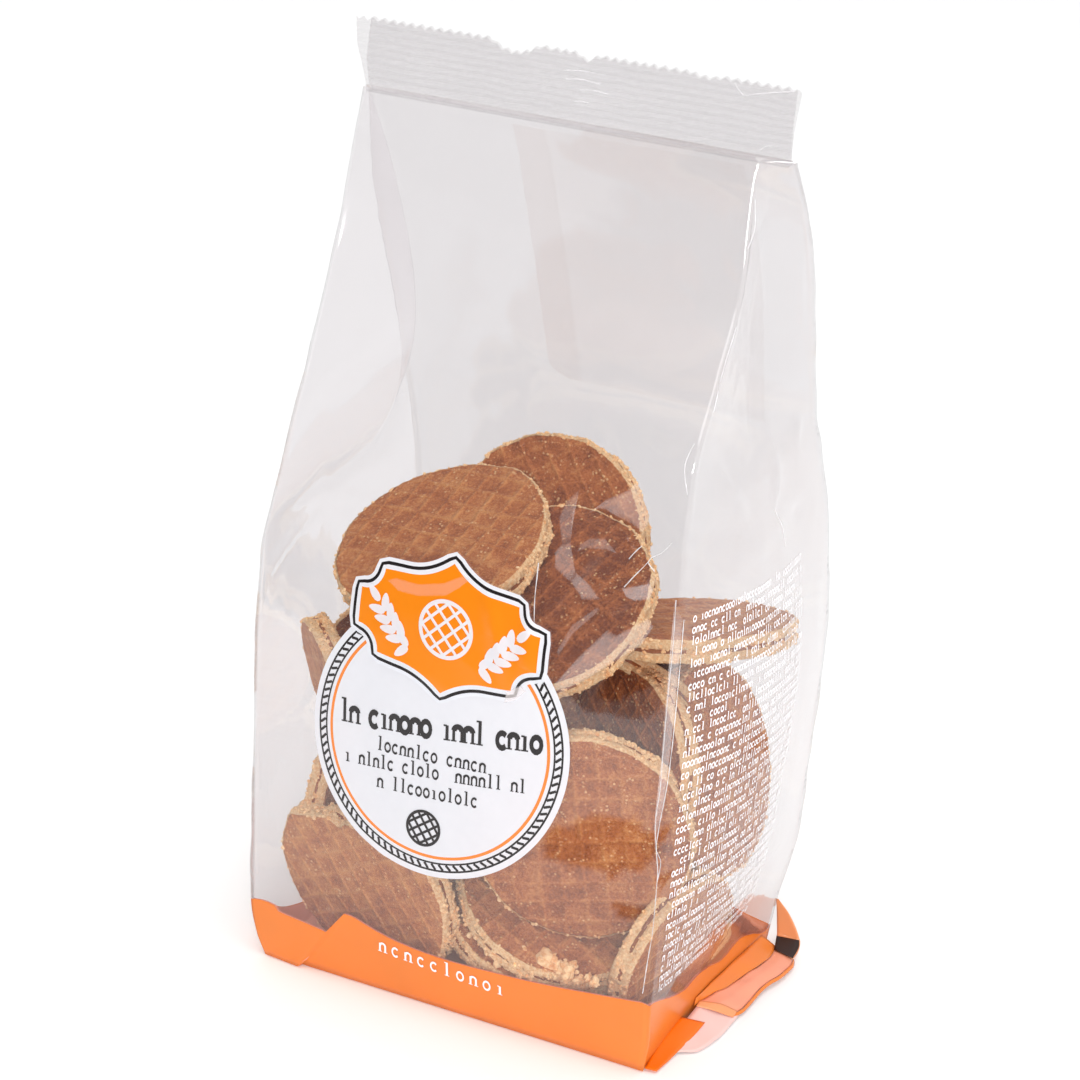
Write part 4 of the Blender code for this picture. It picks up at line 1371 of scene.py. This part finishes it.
def creaseTree():
    # a small ridge drawn along the film's crease lines
    tree, inputs, output = newTree("film_creases", [
        ("Geometry", "NodeSocketGeometry", None), ("Thickness", "NodeSocketFloat", 0.0003),
        ("Spacing", "NodeSocketFloat", 0.001), ("Material", "NodeSocketMaterial", None)])
    curve = addNode(tree, "GeometryNodeMeshToCurve", links={0: inputs.outputs["Geometry"]})
    even = addNode(tree, "GeometryNodeResampleCurve", links={0: curve.outputs[0], "Length": inputs.outputs["Spacing"]},
                   mode="LENGTH")
    wobble = addNode(tree, "FunctionNodeRandomValue", {2: 0.35, 3: 1.0}, {}, data_type="FLOAT")
    radius = addNode(tree, "GeometryNodeSetCurveRadius", links={0: even.outputs[0], "Radius": wobble.outputs[1]})
    profile = addNode(tree, "GeometryNodeCurvePrimitiveCircle", {"Resolution": 5},
                      {"Radius": inputs.outputs["Thickness"]}, mode="RADIUS")
    tube = addNode(tree, "GeometryNodeCurveToMesh", {"Fill Caps": True}, {
        "Curve": radius.outputs[0], "Profile Curve": profile.outputs[0], "Scale": wobble.outputs[1]})
    done = addNode(tree, "GeometryNodeSetMaterial", links={"Geometry": tube.outputs[0],
                                                           "Material": inputs.outputs["Material"]})
    real = addNode(tree, "GeometryNodeRealizeInstances", links={0: done.outputs[0]})
    tree.links.new(real.outputs[0], output.inputs[0])
    return tree


def filmCreases():
    shapes = bmesh.new()
    for side, line in creases["lines"]:
        count = 6 * (len(line) - 1)
        before = None
        for k in range(count + 1):
            across, height = smoothCurve([(i, *point) for i, point in enumerate(line)], k / 6)
            x, y, z = (across, -0.55, height) if side == "seal" else wallPoint(side, across, height, 0.05)
            vertex = shapes.verts.new((x * mm, y * mm, z * mm))
            if before:
                shapes.edges.new((before, vertex))
            before = vertex
    mesh = bpy.data.meshes.new("crease_lines")
    shapes.to_mesh(mesh)
    shapes.free()
    source = bpy.data.objects.new("crease_lines", mesh)
    made = evaluateTree("film_creases", creaseTree(), {"Thickness": creases["thickness"] / 2000, "Spacing": 0.0012},
                        creaseHighlightPaint, source)
    bpy.data.objects.remove(source, do_unlink=True)
    piece = bpy.data.objects.new("film_creases", made)
    bpy.context.scene.collection.objects.link(piece)
    return piece


def paintedCreaseHighlight():
    # painted highlight: a half-white, half-clear film stands in for the light that sharp film creases catch
    material, tree = newMaterial("crease_painted_highlight")
    clear = addNode(tree, "ShaderNodeBsdfTransparent", {"Color": (0.95, 0.94, 0.95, 1)})
    white = addNode(tree, "ShaderNodeBsdfPrincipled", {"Base Color": toLinear("FDFCFD"), "Roughness": 0.2})
    endMaterial(tree, addNode(tree, "ShaderNodeMixShader", {0: 0.5}, {1: clear.outputs[0], 2: white.outputs[0]}))
    return material


# Flat facets of crinkled film with a painted reflection of the white studio: strength of the painted reflection, then
# the corners.
facets = {
    "lift": 0.75,
    "rounds": 3,
    "shapes": [
        (0.17, [(26.2, 91.6), (31.7, 99.8), (37.6, 107.2), (39.7, 106.4), (46.5, 111.7), (47.8, 110), (45.3, 105.1),
                (40, 100.5), (34.1, 95.1), (28.3, 90.6)]),
        (0.22, [(39.8, 117.1), (46, 119.6), (47, 118.3), (46.2, 115.8), (43.1, 114.9), (41.3, 115.6)]),
        (0.1, [(26.9, 135.7), (26.3, 130.4), (26.8, 124.7), (24.9, 123.6), (23.3, 128.9), (24.4, 132.7)]),
        (0.14, [(26.8, 124.7), (29.3, 118.4), (28.1, 116.2), (24, 118.1), (23.4, 121.4), (24.9, 123.6)]),
        (0.15, [(29.3, 118.4), (35.3, 113.6), (31, 112.5), (28.1, 116.2)]),
        (0.15, [(29.6, 130.9), (33.8, 135.2), (38.6, 138.3), (40.1, 140.4), (44.1, 135.4), (44.6, 132.8), (43.1, 130.2),
               (40.6, 131.5), (37.1, 132.3), (34.1, 133.1), (31.9, 132.8)]),
        (0.09, [(28.7, 122.7), (29.4, 124.7), (31.6, 126.5), (34.7, 127.1), (37, 124.9), (37.8, 124.1), (35.4, 124.7),
                (30.9, 124.2)]),
        (0.09, [(26.6, 100), (29.5, 106.6), (34.9, 111.9), (35.6, 111.4), (30.1, 104.9), (27.1, 99)]),
        (0.24, [(51.9, 117), (52.1, 105), (51.9, 97.7), (51.8, 80), (51.8, 73), (51.4, 65), (51.8, 58.5), (52.3, 63.5),
               (53, 69), (53.4, 76.5), (53.7, 85), (53.9, 98), (54, 112.7)]),
        (0.12, [(-16.5, 106), (-13.3, 104.2), (-8.1, 104.4), (-1.2, 106.2), (2, 108.7), (4.3, 111.2), (2.7, 111.7),
                (-2.2, 108.8), (-8.5, 107), (-14.2, 107)]),
        (0.4, [(15.6, 88.1), (19.1, 90.4), (20.4, 89.3), (17.6, 86.2), (15.1, 85.2)]),
    ],
}


def filmFacets():
    shapes = bmesh.new()
    painted_reflection = shapes.verts.layers.float.new("painted_reflection")
    for strength, outline in facets["shapes"]:
        corners = [shapes.verts.new((x, 0, z)) for x, z in outline]
        for corner in corners:
            corner[painted_reflection] = strength
        shapes.faces.new(corners)
    bmesh.ops.triangulate(shapes, faces=shapes.faces[:])
    for number in range(facets["rounds"]):
        bmesh.ops.subdivide_edges(shapes, edges=shapes.edges[:], cuts=1, use_grid_fill=True)
    for vertex in shapes.verts:
        if vertex.is_boundary:
            vertex[painted_reflection] *= 0.35
        x, y, z = wallPoint("front", vertex.co.x, vertex.co.z, facets["lift"])
        vertex.co = (x * mm, y * mm, z * mm)
    shapes.normal_update()
    turned = [face for face in shapes.faces if face.normal.y > 0]
    bmesh.ops.reverse_faces(shapes, faces=turned)
    mesh = bpy.data.meshes.new("film_facets")
    shapes.to_mesh(mesh)
    shapes.free()
    mesh.materials.append(paintedReflectionFilm())
    piece = bpy.data.objects.new("film_facets", mesh)
    bpy.context.scene.collection.objects.link(piece)
    return piece


def paintedReflectionFilm():
    # painted reflection: an even, faint white diffuse stands in for the bright room mirrored by the film's flat facets
    material, tree = newMaterial("film_facets_painted_reflection")
    painted_reflection = addNode(tree, "ShaderNodeAttribute", attribute_name="painted_reflection")
    clear = addNode(tree, "ShaderNodeBsdfTransparent", {"Color": (0.99, 0.985, 0.985, 1)})
    white = addNode(tree, "ShaderNodeBsdfDiffuse", {"Color": toLinear("FDF3F1")})
    endMaterial(tree, addNode(tree, "ShaderNodeMixShader",
                              links={0: painted_reflection.outputs["Fac"], 1: clear.outputs[0], 2: white.outputs[0]}))
    return material


# Lap of the back seam and the strip welded along it: a second layer of film on the back panel.
backLap = {"x": (-14.5, 41), "z": (135.5, 201), "round": 5, "strip": (-14.5, -6.5)}


def lapSheet(name, left, right, inset):
    low, high = backLap["z"]
    columns, rows = 24, 40
    points, faces = [], []
    for row in range(rows + 1):
        z = low + (high - low) * row / rows
        drop = max(0.0, backLap["round"] - (z - low))
        corner = backLap["round"] - math.sqrt(max(0.0, backLap["round"] ** 2 - drop ** 2))
        for column in range(columns + 1):
            x = left + corner + (right - left - corner) * column / columns
            points.append(wallPoint("back", x, z, inset))
    for row in range(rows):
        for column in range(columns):
            a = row * (columns + 1) + column
            faces.append((a, a + columns + 1, a + columns + 2, a + 1))
    return meshPiece(name, points, faces, [lapFilmMaterial])


# Loose crumbs: fine ones cling to the cut rims, a few coarse ones lie where two wafers rub.
crumbs = {
    "density": 620000, "small": 0.3, "large": 1.2, "seed": 5,
    "heap": {"middle": (23.5, -34.6, 19.6), "spread": (11, 1.7, 2.4), "count": 260, "size": (0.4, 1.6)},
}


def crumbTree():
    tree, inputs, output = newTree("clinging_crumbs", [
        ("Geometry", "NodeSocketGeometry", None), ("Density", "NodeSocketFloat", 200000.0),
        ("Small", "NodeSocketFloat", 0.0002), ("Large", "NodeSocketFloat", 0.0006), ("Seed", "NodeSocketInt", 5),
        ("Material", "NodeSocketMaterial", None)])
    rim = addNode(tree, "GeometryNodeInputNamedAttribute", {"Name": "crumb"}, data_type="FLOAT")
    raw = addNode(tree, "FunctionNodeCompare", {1: 0.6}, {0: rim.outputs[0]}, operation="GREATER_THAN",
                  data_type="FLOAT")
    points = addNode(tree, "GeometryNodeDistributePointsOnFaces", links={
        "Mesh": inputs.outputs["Geometry"], "Selection": raw.outputs[0], "Density": inputs.outputs["Density"],
        "Seed": inputs.outputs["Seed"]})
    grain = addNode(tree, "GeometryNodeMeshIcoSphere", {"Radius": 1.0, "Subdivisions": 1})
    size = addNode(tree, "FunctionNodeRandomValue", links={2: inputs.outputs["Small"], 3: inputs.outputs["Large"],
                                                           "Seed": inputs.outputs["Seed"]}, data_type="FLOAT")
    shape = addNode(tree, "FunctionNodeRandomValue", {0: (0.5, 0.5, 0.5), 1: (1.3, 1.3, 1.3)}, {},
                    data_type="FLOAT_VECTOR")
    scale = addNode(tree, "ShaderNodeVectorMath", links={0: shape.outputs[0], "Scale": size.outputs[1]},
                    operation="SCALE")
    turn = addNode(tree, "FunctionNodeRandomValue", {0: (0, 0, 0), 1: (6.28, 6.28, 6.28)}, {},
                   data_type="FLOAT_VECTOR")
    spread = addNode(tree, "GeometryNodeInstanceOnPoints", links={
        "Points": points.outputs[0], "Instance": grain.outputs[0], "Scale": scale.outputs[0],
        "Rotation": turn.outputs[0]})
    real = addNode(tree, "GeometryNodeRealizeInstances", links={0: spread.outputs[0]})
    done = addNode(tree, "GeometryNodeSetMaterial", links={"Geometry": real.outputs[0],
                                                           "Material": inputs.outputs["Material"]})
    tree.links.new(done.outputs[0], output.inputs[0])
    return tree


def paleCrumb():
    # dry waffle crumb: pale, matt and grainy
    material, tree = newMaterial("dry_waffle_crumb")
    place = addNode(tree, "ShaderNodeTexCoord")
    grain = addNode(tree, "ShaderNodeTexNoise", {"Scale": 700.0, "Detail": 2.0}, {"Vector": place.outputs["Object"]})
    tone = setStops(addNode(tree, "ShaderNodeValToRGB", links={0: grain.outputs[0]}),
                    [(0.35, waffleLook["cutShade"]), (0.6, waffleLook["cut"])])
    endMaterial(tree, addNode(tree, "ShaderNodeBsdfPrincipled", {"Roughness": 0.85, "Specular IOR Level": 0.2},
                              {"Base Color": tone.outputs[0]}))
    return material


def clingingCrumbs(name, wafers):
    mesh = evaluateTree(name, crumbTree(), {
        "Density": float(crumbs["density"]), "Small": crumbs["small"] / 2000, "Large": crumbs["large"] / 2000,
        "Seed": crumbs["seed"]}, paleCrumbMaterial, wafers)
    piece = bpy.data.objects.new(name, mesh)
    bpy.context.scene.collection.objects.link(piece)
    return piece


def crumbHeap():
    heap = crumbs["heap"]
    chance = random.Random(17)
    shapes = bmesh.new()
    for number in range(heap["count"]):
        middle = Vector([m + chance.gauss(0, 0.5) * s for m, s in zip(heap["middle"], heap["spread"])])
        size = chance.uniform(*heap["size"]) * chance.uniform(0.5, 1)
        made = bmesh.ops.create_icosphere(shapes, subdivisions=2, radius=1.0)
        stretch = Vector([chance.uniform(0.5, 1.4) for axis in range(3)])
        for vertex in made["verts"]:
            rough = 1 + 0.5 * noise.noise(vertex.co * 1.6 + Vector((number * 3.1, 0, 0)))
            local = Vector([c * s for c, s in zip(vertex.co, stretch)]) * rough * size
            vertex.co = (middle + local) * mm
    mesh = bpy.data.meshes.new("loose_crumbs")
    shapes.to_mesh(mesh)
    shapes.free()
    mesh.materials.append(paleCrumbMaterial)
    piece = bpy.data.objects.new("loose_crumbs", mesh)
    bpy.context.scene.collection.objects.link(piece)
    return piece


paleCrumbMaterial = paleCrumb()
crumbPieces = [clingingCrumbs("crumbs_upper", upperWafers), clingingCrumbs("crumbs_lower", lowerWafers), crumbHeap()]
print("crumbs ready,", sum(len(piece.data.polygons) for piece in crumbPieces), "faces")
# the crease ridges carry a painted highlight
creaseHighlightPaint = paintedCreaseHighlight()
creasePiece = filmCreases()
lapFilmMaterial = thinLap("back_seam_lap_film")
# facets with a painted reflection of the studio
facetPiece = filmFacets()
laps = [lapSheet("back_seam_lap", *backLap["x"], -0.35), lapSheet("back_seam_weld", *backLap["strip"], -0.55)]
print("creases and back seam ready")
labelPieces = [labelDisc(), ropeBorder(), labelOrnament(), emblemPieces(), plaquePiece()]
labelPieces += [rowOfMarks("label_row_%d" % (number + 1), row, blackInk, labelPlace, label["lift"] + 0.07)
                for number, row in enumerate(labelRows)]
bandMarks = rowOfMarks("band_marks", bandText, paleInk, frontPlace, 0.18)
smallPrint = sidePrint()
print("print ready")

pieces = [film, upperWafers, lowerWafers, farWafers, facetPiece, sealPiece, lining, smallPrint, bandMarks, creasePiece] + folds + laps + crumbPieces + labelPieces


# Floor, light and camera.
def softbox(name, place, target, size, power):
    light = bpy.data.lights.new(name, "AREA")
    light.shape = "RECTANGLE"
    light.size, light.size_y = size
    light.energy = power
    lamp = bpy.data.objects.new(name, light)
    lamp.location = place
    lamp.rotation_euler = (Vector(target) - Vector(place)).to_track_quat("-Z", "Y").to_euler()
    bpy.context.scene.collection.objects.link(lamp)
    return lamp


def pictureView(azimuth, elevation, roll, distance, height, lens):
    a, e, r = (math.radians(v) for v in (azimuth, elevation, roll))
    back = Vector((math.sin(a) * math.cos(e), -math.cos(a) * math.cos(e), math.sin(e)))
    right = Vector((math.cos(a), math.sin(a), 0))
    up = back.cross(right)
    turnedRight = right * math.cos(r) + up * math.sin(r)
    turnedUp = up * math.cos(r) - right * math.sin(r)
    spot = Vector((0, 0, height)) + back * distance
    camera = bpy.data.objects.new("camera", bpy.data.cameras.new("camera"))
    camera.data.lens = lens
    camera.data.sensor_width = 36
    camera.matrix_world = Matrix((
        (turnedRight.x, turnedUp.x, back.x, spot.x),
        (turnedRight.y, turnedUp.y, back.y, spot.y),
        (turnedRight.z, turnedUp.z, back.z, spot.z),
        (0, 0, 0, 1)))
    bpy.context.scene.collection.objects.link(camera)
    bpy.context.scene.camera = camera


# A white tent with one dim side: its mirror image is what keeps the upper film clear; the paper ends
# in front, so only the lower film mirrors it.
studio = {"tent": 0.92, "dim": 0.1, "dimTowards": (-0.44, -0.88, 0.16), "sun": 0.7, "key": 24, "paperFront": -250}


def paleFloor():
    material, tree = newMaterial("pale_matt_floor")
    place = addNode(tree, "ShaderNodeTexCoord")
    grain = addNode(tree, "ShaderNodeTexNoise", {"Scale": 3.0}, {"Vector": place.outputs["Object"]})
    tone = setStops(addNode(tree, "ShaderNodeValToRGB", links={0: grain.outputs[0]}),
                    [(0.0, "FAFAFA"), (1.0, "FDFDFD")])
    endMaterial(tree, addNode(tree, "ShaderNodeBsdfPrincipled", {"Roughness": 0.7, "Specular IOR Level": 0.2},
                              {"Base Color": tone.outputs[0]}))
    half, front = 4000, studio["paperFront"]
    floor = meshPiece("floor", [(-half, front, -0.3), (half, front, -0.3), (half, half, -0.3), (-half, half, -0.3)],
                      [(0, 1, 2, 3)], [material], smooth=False)


def light():
    world = bpy.data.worlds.new("studio")
    world.use_nodes = True
    tree = world.node_tree
    place = addNode(tree, "ShaderNodeTexCoord")
    towards = addNode(tree, "ShaderNodeVectorMath", {1: studio["dimTowards"]}, {0: place.outputs["Generated"]},
                      operation="DOT_PRODUCT")
    tone = addNode(tree, "ShaderNodeMapRange", {"From Min": 0.5, "From Max": 0.8, "To Min": studio["tent"],
                                                "To Max": studio["dim"]}, {"Value": towards.outputs["Value"]})
    tree.links.new(tone.outputs[0], tree.nodes["Background"].inputs["Color"])
    bpy.context.scene.world = world
    sun = bpy.data.lights.new("overhead_diffuser", "SUN")
    sun.energy = studio["sun"]
    sun.angle = math.radians(40)
    lamp = bpy.data.objects.new("overhead_diffuser", sun)
    lamp.rotation_euler = Vector((-0.1, 0.3, -1.0)).to_track_quat("-Z", "Y").to_euler()
    bpy.context.scene.collection.objects.link(lamp)
    softbox("key_softbox", (0.78, -1.62, 0.82), (0, 0, 0.1), (0.6, 0.6), studio["key"])


bpy.context.scene.view_settings.view_transform = "Standard"
paleFloor()
light()
pictureView(26.7, 21.25, 3.5, 0.7115, 0.1063, 103.3)
print("stage ready")

for piece in pieces:
    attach(piece, "root")
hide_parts("bag")
